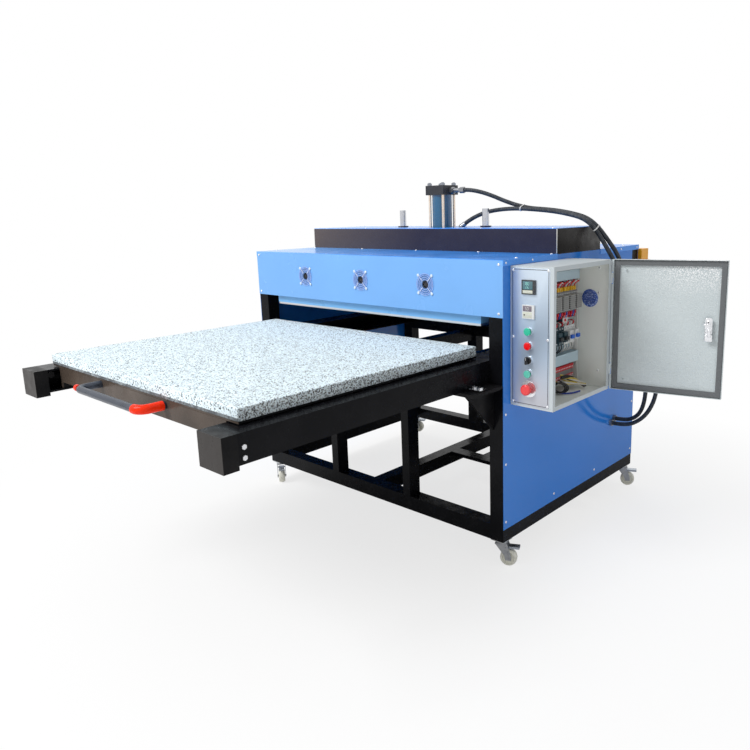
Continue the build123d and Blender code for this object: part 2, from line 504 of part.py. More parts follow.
for name, z in BUTTONS:
    parts[name] = round_bar((PANEL_X, CAB_Y0 - 12, z), (0, 1, 0), BUTTON_R, 18)
lever = Pos(PANEL_X, CAB_Y0 - 15.5, SELECTOR_Z) * Box(9, 16, 27)
parts["selector_knob"] = round_bar((PANEL_X, CAB_Y0 - 8, SELECTOR_Z), (0, 1, 0), BUTTON_R, 14) + (
    round_bar((PANEL_X, CAB_Y0 - 7 - GAP, SELECTOR_Z), (0, -1, 0), 13.5, 4) + lever)
mushroom = round_bar((PANEL_X, CAB_Y0 - 14, STOP_Z), (0, -1, 0), 20, 14)
mushroom = fillet(mushroom.edges().sort_by(Axis.Y)[0], 6)
parts["emergency_stop"] = mushroom + round_bar((PANEL_X, CAB_Y0 - 14, STOP_Z), (0, 1, 0), BUTTON_R, 19)

# Inside the cabinet: mounting plate with wire ducts, switchgear and wires. The rows are listed from the
# plate's lower edge up, each with the space below it and its height, and share what height is left.
PLATE_X = CAB_X + 19
PLATE_INSET = 22
ROWS = (("terminals", 22, 58), ("lower_duct", 5, 40), ("breakers", 39, 70), ("relay", 8, 34),
        ("contactors", 12, 78),
        ("upper_duct", 40, 35))
spare = (CAB_H - 2 * PLATE_INSET - sum(height for name, space, height in ROWS)) / 141
rows = {}
level = CAB_Z0 + PLATE_INSET
for name, space, height in ROWS:
    rows[name] = (level + spare * space, level + spare * space + height)
    level = rows[name][1]
plate = block(PLATE_X - 2, PLATE_X, CAB_Y0 + 60, CAB_Y1 - 20, CAB_Z0 + PLATE_INSET, CAB_Z1 - PLATE_INSET)
spacers = [round_bar((CAB_X + CAB_T, y, z), (1, 0, 0), 5, PLATE_X - 2 - CAB_X - CAB_T)
           for y in (CAB_Y0 + 70, CAB_Y1 - 30) for z in (CAB_Z0 + 32, CAB_Z1 - 32)]
duct_end = CAB_Y1 - 38
ducts = []
for name in ("lower_duct", "upper_duct"):
    duct = block(PLATE_X, PLATE_X + 45, CAB_Y0 + 95, duct_end, *rows[name])
    for i in range(int((duct_end - CAB_Y0 - 109) / 14) + 1):
        slot_y = CAB_Y0 + 101 + 14 * i
        duct = duct - block(PLATE_X + 12, PLATE_X + 42, slot_y, slot_y + 6, *rows[name])
    ducts.append(duct)
parts["mounting_plate"] = fused([plate] + spacers + ducts)

low, high = rows["contactors"]
gear = []
contactor_ys = [CAB_Y1 - 109 - 48.25 * i for i in range(int((CAB_D - 138) / 48.25))]
for y in contactor_ys:
    gear.append(block(PLATE_X, PLATE_X + 50, y, y + 46, low, high)
                + block(PLATE_X + 50, PLATE_X + 74, y + 5, y + 41, low + 13, high - 13))
base, top = rows["breakers"]
breaker_ys = [CAB_Y1 - 108 - 40 * i for i in range(4)]
for y in breaker_ys:
    gear.append(block(PLATE_X, PLATE_X + 46, y, y + 38, base, top)
                + block(PLATE_X + 46, PLATE_X + 68, y + 6, y + 32, base + 16, top - 16))
gear.append(block(PLATE_X, PLATE_X + 40, CAB_Y1 - 150, CAB_Y1 - 114, *rows["relay"]))
strip_z, strip_top = rows["terminals"]
for i in range(11):
    y = CAB_Y1 - 200 + 12 * i
    gear.append(block(PLATE_X, PLATE_X + 42, y, y + 11.5, strip_z + 10, strip_top)
                + block(PLATE_X, PLATE_X + 30, y, y + 11.5, strip_z, strip_z + 10))
parts["switchgear"] = group(gear)

duct_z = rows["upper_duct"][0]
wires = [swept([(PLATE_X + 40, y + 20, high + 0.6), (PLATE_X + 40, y + 22, (high + duct_z) / 2),
                (PLATE_X + 30, y + 32, duct_z - 1.8)], 2.2)[0] for y in contactor_ys]
wires += [swept([(PLATE_X + 38, y + 19, top + 0.6), (PLATE_X + 42, y + 21, (top + low) / 2 - 5),
                 (PLATE_X + 38, y + 28, low - 1.2)], 2.2)[0] for y in (breaker_ys[0], breaker_ys[3])]
for i in range(4):
    x = PLATE_X + 20 + 5.25 * i
    wires.append(swept([(x, duct_end + 2.65, rows["upper_duct"][1] - 3), (x, duct_end + 2.65, strip_top - 14),
                        (x + 6, duct_end + 6, CAB_Z0 + 8)], 2.6)[0])
parts["control_wires"] = group(wires)

# Small box on a bracket behind the back right post.
parts["junction_box"] = group(block(HALF - 43, HALF + 17, FRAME_D + 6, FRAME_D + 74, FRAME_TOP - 68,
                                    FRAME_TOP - 18),
                              block(HALF - 48, HALF + 22, FRAME_D + SHEET, FRAME_D + 79, FRAME_TOP - 73,
                                    FRAME_TOP - 68))

# Screws of the panels.
SCREW_R = 5
edge = HALF - 15
screws = [round_bar((x, -SHEET, z), (0, -1, 0), SCREW_R, 3) for x in (-edge, edge)
          for z in (HOOD_Z + 14, FRAME_TOP - 14)]
screws += [round_bar((x, y, FRAME_TOP + SHEET), (0, 0, 1), SCREW_R, 3) for x in (-edge, edge)
           for y in (104, FRAME_D - 115)]
screws += [round_bar((edge / 2 * i, y, FRAME_TOP + SHEET), (0, 0, 1), SCREW_R, 3)
           for i in range(-2, 3) for y in (BOX_Y0 - 13, BOX_Y1 + 13)]
screws += [round_bar(((HALF - 25) / 2 * i, y, BOX_TOP), (0, 0, 1), SCREW_R, 3)
           for i in (-2, -1, 1, 2) for y in (BOX_Y0 + 13, BOX_Y1 - 13)]
side_spots = [(y, RAIL_TOP + 20) for y in (14, 350, 686)] + [(14, z)
                                                             for z in (RAIL_TOP + 245, RAIL_TOP + 435)]
side_spots += [(FRAME_D - 17, z) for z in (RAIL_TOP + 20, RAIL_TOP + 255, RAIL_TOP + 490, HOOD_Z - 62)]
for y, z in side_spots:
    screws += both(round_bar((SKIN, y, z), (1, 0, 0), SCREW_R, 3))
for y in (14, 180, FRAME_D - 175, FRAME_D - 20):
    screws += both(round_bar((SKIN + SHEET, y, FRAME_TOP - 9), (1, 0, 0), 4, 2.5))
parts["screws"] = group(screws)

# Casters: plate, fork that swivels, wheel, and brake pedal between the fork's cheeks.
CASTER_IN = TUBE / 2
FORK_TOP = CASTER_H - 14
PIVOT_Z = 2 * WHEEL_R + 11
CASTERS = (("front_left", -1, CASTER_IN, -35), ("front_right", 1, CASTER_IN, 25.5),
           ("back_left", -1, FRAME_D - CASTER_IN, 20), ("back_right", 1, FRAME_D - CASTER_IN, 25.5))
cheek_line = Polyline((-22, FORK_TOP), (24, FORK_TOP), (40, WHEEL_R + 7.5), (40, WHEEL_R - 6.5),
                      (18, WHEEL_R - 6.5),
                      (14, WHEEL_R + 11.5), close=True)
cheeks = [Pos(0, y, 0) * extrude(Plane(origin=(0, 0, 0), x_dir=(1, 0, 0),
                                       z_dir=(0, -1, 0)) * make_face(cheek_line), 3)
          for y in (-17.5, 20.5)]
pivot = (22, -25, PIVOT_Z)
fork = fused(cheeks + [block(-22, 24, -20.5, 20.5, FORK_TOP - 3, FORK_TOP),
                       round_bar((0, 0, FORK_TOP), (0, 0, 1), 22, 5.7),
                       round_bar((0, 0, FORK_TOP + 5), (0, 0, 1), 6, 8)])
fork = fork - round_bar(pivot, (0, 1, 0), 3 + FIT, 50) + round_bar((TRAIL, -22, WHEEL_R), (0, 1, 0), 5, 44)
wheel = round_bar((TRAIL, -15, WHEEL_R), (0, 1, 0), WHEEL_R, 30) - round_bar((TRAIL, -15, WHEEL_R),
                                                                             (0, 1, 0), 5 + FIT, 30)
wheel = fillet(wheel.edges().filter_by(GeomType.CIRCLE).sort_by(SortBy.RADIUS)[-2:], 3)
pedal = block(14, 70, -13, 13, PIVOT_Z - 5, PIVOT_Z + 4) + round_bar((22, -20.5, PIVOT_Z), (0, 1, 0), 3, 41)
plates = []
for name, side, y, turn in CASTERS:
    spot = Pos(side * (HALF - CASTER_IN), y, 0)
    plates.append(spot * (block(-29, 29, -29, 29, CASTER_H - 4, CASTER_H)
                          + round_bar((0, 0, CASTER_H - 8), (0, 0, 1), 24, 4)
                          - round_bar((0, 0, CASTER_H - 8), (0, 0, 1), 6 + FIT, 8)))
    turned = spot * Rot(0, 0, turn)
    parts["caster_fork_" + name] = turned * fork
    parts["caster_wheel_" + name] = turned * wheel
    parts["caster_pedal_" + name] = turned * pedal
parts["caster_plates"] = group(plates)

# The origin moves to the middle of the whole machine at floor level, without the hoses.
solid_box = Compound([shape for name, shape in parts.items() if name not in hose_routes]).bounding_box()
SHIFT = (-(solid_box.min.X + solid_box.max.X) / 2, -(solid_box.min.Y + solid_box.max.Y) / 2, -solid_box.min.Z)

if __name__ == "__main__":
    os.makedirs("parts", exist_ok=True)
    for name, shape in parts.items():
        export_step(Pos(*SHIFT) * shape, f"parts/{name}.step")
    print(len(parts), "nodes, shift", SHIFT, "size", solid_box.size)
    for check in hose_checks:
        print(check)
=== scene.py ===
import math

import bpy
import bmesh
import numpy as np
from mathutils import Matrix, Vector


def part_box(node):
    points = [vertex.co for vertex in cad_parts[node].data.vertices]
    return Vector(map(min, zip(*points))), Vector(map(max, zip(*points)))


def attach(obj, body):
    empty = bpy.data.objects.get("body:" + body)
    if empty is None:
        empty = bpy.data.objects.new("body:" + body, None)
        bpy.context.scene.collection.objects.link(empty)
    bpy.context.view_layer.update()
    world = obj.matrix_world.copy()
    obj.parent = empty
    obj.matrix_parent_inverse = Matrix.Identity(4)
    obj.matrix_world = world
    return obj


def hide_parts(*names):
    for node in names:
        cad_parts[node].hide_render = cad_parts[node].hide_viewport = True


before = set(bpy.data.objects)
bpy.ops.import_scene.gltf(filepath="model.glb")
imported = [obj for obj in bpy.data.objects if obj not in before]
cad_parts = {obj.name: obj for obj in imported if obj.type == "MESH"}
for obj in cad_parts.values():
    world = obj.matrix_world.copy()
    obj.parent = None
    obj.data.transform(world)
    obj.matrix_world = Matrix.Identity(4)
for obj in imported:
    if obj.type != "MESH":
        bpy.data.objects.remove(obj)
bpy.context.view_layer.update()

# The photograph is taken from the front right, a little above the table, from about three metres.
# Places are given in metres from the middle of the frame's front at floor level, and moved to the
# model's own origin by the frame's box.
frame_low, frame_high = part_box("frame_posts")
MIDDLE = np.array([(frame_low[0] + frame_high[0]) / 2, frame_low[1], 0.0])


def at(x, y, z):
    """A point of the machine: across from the middle, back from the front posts, up from the floor."""
    return MIDDLE + np.array([x, y, z])


def stand(name, data, place, right, up, forward):
    """Stands a camera or a lamp at a place. Its own x is right, its own y is up, and it faces forward."""
    made = bpy.data.objects.new(name, data)
    bpy.context.scene.collection.objects.link(made)
    columns = np.column_stack([right, up, -forward, place])
    made.matrix_world = Matrix([list(row) for row in columns] + [[0, 0, 0, 1]])
    return made


def aim_camera(place, yaw, pitch, roll, focal, centre_u, centre_v, pixels=750, film=36):
    """Camera at place. Its view axis is turned left by yaw and down by pitch, and the picture is rolled.
    The lens is the focal length in pixels over the picture's width times the film's width in mm."""
    forward = np.array([-math.sin(yaw) * math.cos(pitch), math.cos(yaw) * math.cos(pitch), -math.sin(pitch)])
    level = np.array([math.cos(yaw), math.sin(yaw), 0.0])
    down = np.cross(forward, level)
    right = math.cos(roll) * level + math.sin(roll) * down
    below = -math.sin(roll) * level + math.cos(roll) * down
    lens = bpy.data.cameras.new("camera")
    lens.sensor_width, lens.lens = film, focal / pixels * film
    lens.shift_x = (pixels / 2 - centre_u) / pixels
    lens.shift_y = (centre_v - pixels / 2) / pixels
    lens.clip_start, lens.clip_end = 0.05, 60
    bpy.context.scene.camera = stand("camera", lens, place, right, -below, forward)


aim_camera(at(2.10583, -1.9443, 1.32373), yaw=0.72069, pitch=0.19814, roll=0.02257, focal=690.36,
           centre_u=435.05, centre_v=349.67)


# The two hydraulic hoses join the cylinder to the power unit in the base. They are black rubber with a
# fine wound wrap, 18 mm thick, crimped into plated steel fittings, and held together by two white ties.
class Line:
    """One value on its way through a node tree. Arithmetic on it adds the Math node that does it."""

    def __init__(self, wiring, socket):
        self.wiring, self.socket = wiring, socket

    def math(self, operation, *values):
        """The Math node of that operation on the values, in their order."""
        return self.wiring.node("ShaderNodeMath", {"operation": operation}, dict(enumerate(values)))

    def __add__(self, other):
        return self.math("ADD", self, other)

    def __sub__(self, other):
        return self.math("SUBTRACT", self, other)

    def __rsub__(self, other):
        return self.math("SUBTRACT", other, self)

    def __mul__(self, other):
        return self.math("MULTIPLY", self, other)

    def __gt__(self, other):
        return self.math("GREATER_THAN", self, other)

    def __lt__(self, other):
        return self.math("LESS_THAN", self, other)

    __radd__, __rmul__ = __add__, __mul__


class Wiring:
    """A node tree. Every node is added to it in one way."""

    def __init__(self, tree):
        self.tree = tree

    def node(self, kind, settings=None, inputs=None, output=0):
        """Adds a node: its settings first, then each input as a value or a link. Returns one output."""
        made = self.tree.nodes.new(kind)
        for name, value in (settings or {}).items():
            setattr(made, name, value)
        for name, value in (inputs or {}).items():
            if isinstance(value, Line):
                self.join(value, made.inputs[name])
            else:
                made.inputs[name].default_value = value
        return Line(self, made.outputs[output])

    def join(self, line, socket):
        """Leads the line to a socket."""
        self.tree.links.new(line.socket, socket)

    def ramp(self, value, low, high, start=0.0, end=1.0):
        """The value carried from low..high to start..end, and held there beyond."""
        return self.node("ShaderNodeMapRange", {}, {0: value, 1: low, 2: high, 3: start, 4: end})


class Finish(Wiring):
    """A material. Its keyword values are set on the Principled shader's own sockets."""

    def __init__(self, name, **constants):
        self.material = bpy.data.materials.new(name)
        self.material.use_nodes = True
        super().__init__(self.material.node_tree)
        self.shader = self.tree.nodes["Principled BSDF"]
        self.spot = self.node("ShaderNodeTexCoord", output="Object")
        for socket, value in constants.items():
            self.shader.inputs[socket.replace("_", " ")].default_value = value

    def place(self, scale=1.0):
        """Object coordinates in metres, times a scale for each direction."""
        if scale == 1.0:
            return self.spot
        return self.node("ShaderNodeMapping", {}, {"Vector": self.spot, "Scale": scale})

    def across(self, axis):
        """The Object coordinate along one axis, X, Y or Z."""
        return self.node("ShaderNodeSeparateXYZ", {}, {"Vector": self.spot}, axis)

    def inside(self, **spans):
        """1 where the place on the machine lies in the span of each axis named, and 0 elsewhere. None
        leaves an end of a span open."""
        mask = None
        for axis, span in spans.items():
            line, zero = self.across(axis), MIDDLE["XYZ".index(axis)]
            for end, beyond in zip(span, (line.__gt__, line.__lt__)):
                if end is not None:
                    mask = beyond(end + zero) if mask is None else mask * beyond(end + zero)
        return mask

    def cloud(self, scale, detail=3.0, roughness=0.5, place=None):
        """Soft noise from 0 to 1, with this many waves to the metre."""
        return self.node("ShaderNodeTexNoise", {}, {"Vector": place or self.spot, "Scale": scale,
                                                    "Detail": detail, "Roughness": roughness})

    def cells(self, scale, output, place=None, scatter=1.0):
        """Cells about scattered points, this many to the metre: a Color for each, or the Distance."""
        return self.node("ShaderNodeTexVoronoi", {"feature": "F1"},
                         {"Vector": place or self.spot, "Scale": scale, "Randomness": scatter}, output)

    def mix(self, share, one, two):
        """Colour one where share is 0, colour two where it is 1."""
        one, two = ((*colour, 1) if isinstance(colour, tuple) else colour for colour in (one, two))
        return self.node("ShaderNodeMix", {"data_type": "RGBA"}, {0: share, 6: one, 7: two}, 2)

    def bump(self, height, depth, strength=1.0):
        """Bumps of that depth in metres. It feeds the shader's normal."""
        return self.feed(Normal=self.node("ShaderNodeBump", {}, {"Strength": strength, "Distance": depth,
                                                                 "Height": height}))

    def feed(self, **lines):
        """Leads each line to the shader's socket of that name."""
        for socket, line in lines.items():
            self.join(line, self.shader.inputs[socket.replace("_", " ")])
        return self

    def tint(self, share, one, two):
        """The shader's colour: one where share is 0, two where it is 1."""
        return self.feed(Base_Color=self.mix(share, one, two))

    def over(self, share, colour):
        """Lays a colour over the one that feeds the shader so far, by its share."""
        return self.tint(share, Line(self, self.shader.inputs["Base Color"].links[0].from_socket), colour)

    def gloss(self, tone, least, most):
        """The shader's roughness: least in the low parts of a noise, most in its high ones."""
        return self.feed(Roughness=self.ramp(tone, 0.3, 0.7, least, most))


def dress(finish, *names):
    """The CAD nodes of these names get the finish on all their faces."""
    for name in names:
        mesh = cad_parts[name].data
        mesh.materials.clear()
        mesh.materials.append(finish.material)


def grid(rows, finish, capped=True):
    """Surface over a grid of points: each row is a closed ring, quads join neighbouring rings, and the end
    rings are filled where capped."""
    rows = np.asarray(rows, float)
    count, around = rows.shape[:2]
    index = np.arange(count * around).reshape(count, around)
    turned_on = np.roll(index, -1, axis=1)
    faces = np.stack([index[:-1], turned_on[:-1], turned_on[1:], index[1:]], -1).reshape(-1, 4).tolist()
    if capped:
        faces += [index[0].tolist()[::-1], index[-1].tolist()]
    return rows.reshape(-1, 3), faces, finish


def assemble(name, shapes, body, stands_for=(), crease=35):
    """One piece from shapes of points, faces and a finish. Edges sharper than crease degrees stay sharp."""
    points = np.concatenate([shape[0] for shape in shapes])
    starts = np.concatenate([[0], np.cumsum([len(shape[0]) for shape in shapes])[:-1]]).astype(int)
    faces = [[int(start) + corner for corner in face] for start, shape in zip(starts, shapes)
             for face in shape[1]]
    finishes = list(dict.fromkeys(shape[2] for shape in shapes))
    mesh = bpy.data.meshes.new(name)
    mesh.from_pydata(points.tolist(), [], faces)
    for finish in finishes:
        mesh.materials.append(finish.material)
    mesh.polygons.foreach_set("material_index", [finishes.index(shape[2]) for shape in shapes
                                                 for face in shape[1]])
    tidy = bmesh.new()
    tidy.from_mesh(mesh)
    bmesh.ops.remove_doubles(tidy, verts=tidy.verts, dist=1e-6)
    bmesh.ops.recalc_face_normals(tidy, faces=tidy.faces)
    tidy.to_mesh(mesh)
    tidy.free()
    mesh.shade_smooth()
    mesh.set_sharp_from_angle(angle=math.radians(crease))
    piece = bpy.data.objects.new(name, mesh)
    bpy.context.scene.collection.objects.link(piece)
    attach(piece, body)
    if stands_for:
        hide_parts(*stands_for)
    return piece


def smooth_line(name, points, steps):
    """Smooth NURBS line that these places control, drawn with that many steps from one to the next."""
    curve = bpy.data.curves.new(name, "CURVE")
    curve.dimensions = "3D"
    curve.resolution_u = steps
    spline = curve.splines.new("NURBS")
    spline.points.add(len(points) - 1)
    for point, place in zip(spline.points, points):
        point.co = (*at(*place), 1.0)
    spline.order_u = 3
    spline.use_endpoint_u = True
    line = bpy.data.objects.new(name, curve)
    bpy.context.scene.collection.objects.link(line)
    return line


def thicken(curve, radius, corners):
    """Round section of that radius along the line, closed at its ends."""
    curve.bevel_depth = radius
    curve.bevel_resolution = corners
    curve.use_fill_caps = True


def places_of(mesh):
    """The places of a mesh's points, one to a row."""
    found = np.empty(len(mesh.vertices) * 3)
    mesh.vertices.foreach_get("co", found)
    return found.reshape(-1, 3)


HOSE = 0.018
routes = {
    "hose_one": [(0.134, 0.525, 1.413), (0.208, 0.525, 1.413), (0.372, 0.607, 1.331), (0.545, 0.610, 1.318),
                 (0.650, 0.607, 1.299), (0.704, 0.607, 1.282), (0.740, 0.617, 1.252), (0.766, 0.646, 1.206),
                 (0.816, 0.680, 1.118), (0.846, 0.726, 0.955), (0.880, 0.780, 0.780), (0.882, 0.826, 0.612),
                 (0.871, 0.845, 0.503), (0.852, 0.852, 0.438), (0.820, 0.858, 0.4005), (0.776, 0.860, 0.381),
                 (0.729, 0.860, 0.381)],
    "hose_two": [(0.12745, 0.53339, 1.26524), (0.17659, 0.56006, 1.30736), (0.335, 0.576, 1.331),
                 (0.540, 0.583, 1.316), (0.647, 0.580, 1.297), (0.700, 0.582, 1.281), (0.736, 0.592, 1.251),
                 (0.757, 0.616, 1.209), (0.804, 0.640, 1.118), (0.872, 0.692, 0.950), (0.917, 0.750, 0.790),
                 (0.936, 0.806, 0.640), (0.926, 0.834, 0.535), (0.900, 0.834, 0.458), (0.858, 0.832, 0.403),
                 (0.795, 0.828, 0.367), (0.729, 0.828, 0.367)]}
hose_rubber = Finish("hose_rubber", Roughness=0.5, Specular_IOR_Level=0.35)
wrap = hose_rubber.node("ShaderNodeTexWave", {"wave_type": "BANDS", "bands_direction": "DIAGONAL"},
                        {"Vector": hose_rubber.place(), "Scale": 55.0, "Distortion": 0.6})
hose_rubber.tint(hose_rubber.ramp(hose_rubber.cloud(70, 4), 0.35, 0.7), (0.018, 0.021, 0.026),
                 (0.052, 0.060, 0.070))
hose_rubber.bump(wrap, 0.0008)
hose_line = {}
for name, points in routes.items():
    hose = smooth_line(name + "_hose", points, 12)
    hose_line[name] = places_of(bpy.data.meshes.new_from_object(hose))
    thicken(hose.data, HOSE / 2, 6)
    hose.data.materials.append(hose_rubber.material)
    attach(hose, "machine")
    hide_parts(name)


def shade(colour, share):
    """The colour times a share, held at full light."""
    return tuple(min(share * part, 1.0) for part in colour)


def mottled(name, waves, one, two, gloss, detail=3.0, grain=0.5, stretch=1.0, **constants):
    """Finish of one soft noise, kept as its tone: it carries the colour from one to two, and the roughness
    over the pair gloss."""
    finish = Finish(name, **constants)
    finish.tone = finish.cloud(waves, detail, grain, finish.place(stretch))
    return finish.tint(finish.tone, one, two).gloss(finish.tone, *gloss)


def plain(name, colour, rough=0.4, metal=0.0):
    """Moulded plastic or small trim: one colour with faint mottling in tone and gloss."""
    return mottled(name, 70, shade(colour, 0.86), colour, (max(rough - 0.06, 0.03), rough + 0.08),
                   Metallic=metal)


tie_white = plain("tie_white", (0.78, 0.78, 0.76), 0.4)


def band(one, two, along, finish, width=0.0045, thick=0.0014, reach=HOSE / 2 + 0.0004, corners=12):
    """Strap pulled round two hoses. Its line is two half circles of radius reach about the points one and
    two, square to along. The strap's section, width by thick, follows that line."""
    along = along / np.linalg.norm(along)
    apart = two - one
    apart = apart - along * (apart @ along)
    apart /= np.linalg.norm(apart)
    beside = np.cross(along, apart)
    half = np.linspace(-math.pi / 2, math.pi / 2, corners)
    way = np.concatenate([np.cos(half)[:, None] * apart + np.sin(half)[:, None] * beside,
                          -np.cos(half)[:, None] * apart - np.sin(half)[:, None] * beside])
    base = np.concatenate([np.repeat([two - along * ((two - one) @ along) / 2], corners, 0),
                           np.repeat([one + along * ((two - one) @ along) / 2], corners, 0)])
    rows = [base + way * (reach + out) + along * side * width / 2
            for out, side in ((0, -1), (thick, -0.8), (thick, 0.8), (0, 1), (0, -1))]
    return grid(rows, finish, capped=False)


TIE_XS, TIES_LOWEST = (0.396, 0.742), 1.1
ties = []
for tie_x in TIE_XS:
    spots, ways = [], []
    for line in hose_line.values():
        nearest = int(np.argmin(np.abs(line[:, 0] - at(tie_x, 0, 0)[0]) + (line[:, 2] < TIES_LOWEST)))
        spots.append(line[nearest])
        ways.append(line[nearest + 1] - line[nearest - 1])
    ties.append(band(*spots, ways[0] + ways[1], tie_white))
assemble("hose_ties", ties, "machine")

# Hose fittings are plated steel in a darker grey: port fittings with a hexagon, crimped sleeves and the two
# nuts in the side sheet. The casters' plates are zinc plated and brighter.
dress(mottled("zinc", 90, (0.40, 0.41, 0.42), (0.72, 0.72, 0.70), (0.22, 0.45), 4, 0.6, Metallic=1.0),
      "caster_plates")
dress(mottled("fitting_steel", 80, (0.15, 0.155, 0.165), (0.42, 0.43, 0.45), (0.24, 0.42), 4, 0.6,
              Metallic=0.9), "hose_fittings")


# The frame, rails and beams are square steel tube and channel, welded and sprayed with gloss black
# enamel. It is slightly wavy, and a little dust lies on it.
def enamel(name, dark, dusty, gloss=0.2, level=0.09):
    """Black enamel: dust lies in soft patches, and small waves bend what it mirrors."""
    finish = Finish(name, Specular_IOR_Level=level)
    dust = finish.ramp(finish.cloud(7, 6, 0.65), 0.42, 0.8, 0.0, 0.6)
    finish.tint(dust, dark, dusty).gloss(finish.cloud(30, 4), gloss - 0.05, gloss + 0.12)
    return finish.bump(finish.cloud(24, 2), 0.0009, 0.6)


dress(enamel("black_paint", (0.0040, 0.0042, 0.0055), (0.014, 0.014, 0.016)),
      "frame_posts", "base_rails", "upper_frame", "drawer_rails", "platen_frame")

# The table's own frame is the same enamel. Its front faces are painted brownish: a painted reflection of
# the ground in the gloss.
TABLE_FRONT = -0.9985
table_black = enamel("table_black", (0.0040, 0.0042, 0.0050), (0.018, 0.018, 0.020), 0.24, 0.1)
front_reflection = table_black.mix(table_black.ramp(table_black.cloud(4, 4), 0.35, 0.7),
                         (0.048, 0.036, 0.028), (0.105, 0.080, 0.064))
dress(table_black.over(table_black.inside(Y=(None, TABLE_FRONT)), front_reflection), "table_frame")


# The beam box of the head is the same enamel on folded sheet. It stands highest and mirrors the room. Its
# left end is painted lighter and warmer: a painted reflection of the warm light there.
def left_reflection(finish, end, share, colour, start=-0.95):
    """Painted reflection on the left of a finish: a colour whose share falls to nothing from start to end
    along X.
    """
    return finish.over(finish.ramp(finish.across("X"), start, end, share, 0.0), colour)


box_black = enamel("box_black", (0.018, 0.017, 0.040), (0.040, 0.038, 0.062), 0.22, 0.3)
dress(left_reflection(box_black, -0.25, 0.9, (0.105, 0.082, 0.078)), "press_beams")

# Rail ends: welded blocks, brackets and gussets in enamel, with bare plated hexagon bolts in the web
# and on the clip.
BLOCK_FRONT = -1.0870
rail_black = enamel("rail_end_black", (0.005, 0.005, 0.006), (0.03, 0.029, 0.028), 0.3)
bolts = rail_black.inside(X=(0.6558, 0.70), Y=(-1.06, -1.0), Z=(0.715, 0.77)) + \
    rail_black.inside(X=(0.655, 0.71), Y=(-0.125, -0.09), Z=(0.7159, 0.73)) + \
    rail_black.inside(X=(-0.70, -0.6558), Y=(-1.06, -1.0), Z=(0.715, 0.77))
# The blocks' front faces are painted brownish: a painted reflection of the ground in the gloss.
rail_black.over(rail_black.inside(Y=(None, BLOCK_FRONT)), (0.040, 0.036, 0.034))
dress(rail_black.over(bolts, (0.75, 0.76, 0.78)).feed(Metallic=bolts), "rail_ends")


# The hood, lid and side sheets are 2 mm steel, bent and sprayed sky blue. The spray leaves a fine orange
# peel. Each sheet's shade is painted light for how the light falls on it: the side and back sheets are
# painted darker than the hood's front, its lid and the platen's cover.
def sky_paint(name, colour, gloss=0.22):
    """Blue spray paint: tone drifts slowly across the sheet, orange peel is a ripple a few mm long."""
    finish = Finish(name, Specular_IOR_Level=0.5)
    drift = finish.ramp(finish.cloud(1.8), 0.3, 0.7)
    finish.tint(drift, shade(colour, 0.93), shade(colour, 1.05))
    finish.gloss(finish.cloud(9), gloss - 0.04, gloss + 0.06)
    return finish.bump(finish.cloud(150, 2), 0.00010, 0.3)


dress(sky_paint("hood_blue", (0.185, 0.43, 0.84)), "hood_front_panel")
# The lid is painted lighter toward its left end: a painted reflection of the white room.
dress(left_reflection(sky_paint("top_blue", (0.055, 0.31, 0.92)), -0.30, 0.6, (0.26, 0.56, 1.0)), "top_panels")
dress(sky_paint("side_blue", (0.020, 0.205, 0.70), 0.12), "side_panels", "back_panel")
dress(sky_paint("cover_blue", (0.22, 0.55, 1.0), 0.3), "platen_cover")

# A sheet of steel in black enamel closes each end of the beam box and lies on its side. A thin bright strip
# along its front edge is a painted highlight.
HALF, FRAME_TOP, BOX_TOP = 0.715, 1.152, 1.250
BOX_FRONT, BOX_BACK = 0.353, 0.693
end_black = enamel("end_black", (0.0080, 0.0064, 0.0058), (0.017, 0.014, 0.012), 0.28, 0.12)
# Painted highlight: a thin bright strip stands on each end sheet's front edge.
edge_bright = plain("edge_bright", (0.62, 0.60, 0.56), 0.35, 0.6)


def slab(low, high, finish, corner=0.002, rim=0.001, face=2, steps=3):
    """Slab with rounded corners and rims. Each ring is a rounded rectangle. Going along the face's axis,
    its inset from the full outline and its height follow a quarter circle of radius rim at both faces."""
    order = [(face + 1) % 3, (face + 2) % 3, face]
    low, high = np.minimum(low, high)[order], np.maximum(low, high)[order]
    sweep = np.linspace(0, math.pi / 2, steps)
    inset = np.concatenate([rim * (1 - np.sin(sweep)), rim * (1 - np.sin(sweep[::-1]))])
    height = np.concatenate([low[2] + rim * (1 - np.cos(sweep)), high[2] - rim * (1 - np.cos(sweep[::-1]))])
    angles = np.concatenate([np.linspace(0, math.pi / 2, steps) + quarter * math.pi / 2
                             for quarter in range(4)])
    sign_p = np.repeat([1, -1, -1, 1], steps)
    sign_q = np.repeat([1, 1, -1, -1], steps)
    radius = np.maximum(corner - inset, 1e-5)[:, None]
    half_p = (high[0] - low[0]) / 2 - inset[:, None] - radius
    half_q = (high[1] - low[1]) / 2 - inset[:, None] - radius
    rows = np.empty((len(inset), len(angles), 3))
    rows[:, :, order[0]] = (low[0] + high[0]) / 2 + sign_p * half_p + radius * np.cos(angles)
    rows[:, :, order[1]] = (low[1] + high[1]) / 2 + sign_q * half_q + radius * np.sin(angles)
    rows[:, :, order[2]] = height[:, None]
    return grid(rows, finish)


def plate(xs, ys, zs, finish, corner, rim, face=1, steps=3):
    """Slab between two places across, two back and two up. Its faces look along the axis face: 0 across,
    1 back and 2 up."""
    low, high = (at(*place) for place in zip(xs, ys, zs))
    return slab(low, high, finish, corner, rim, face, steps)


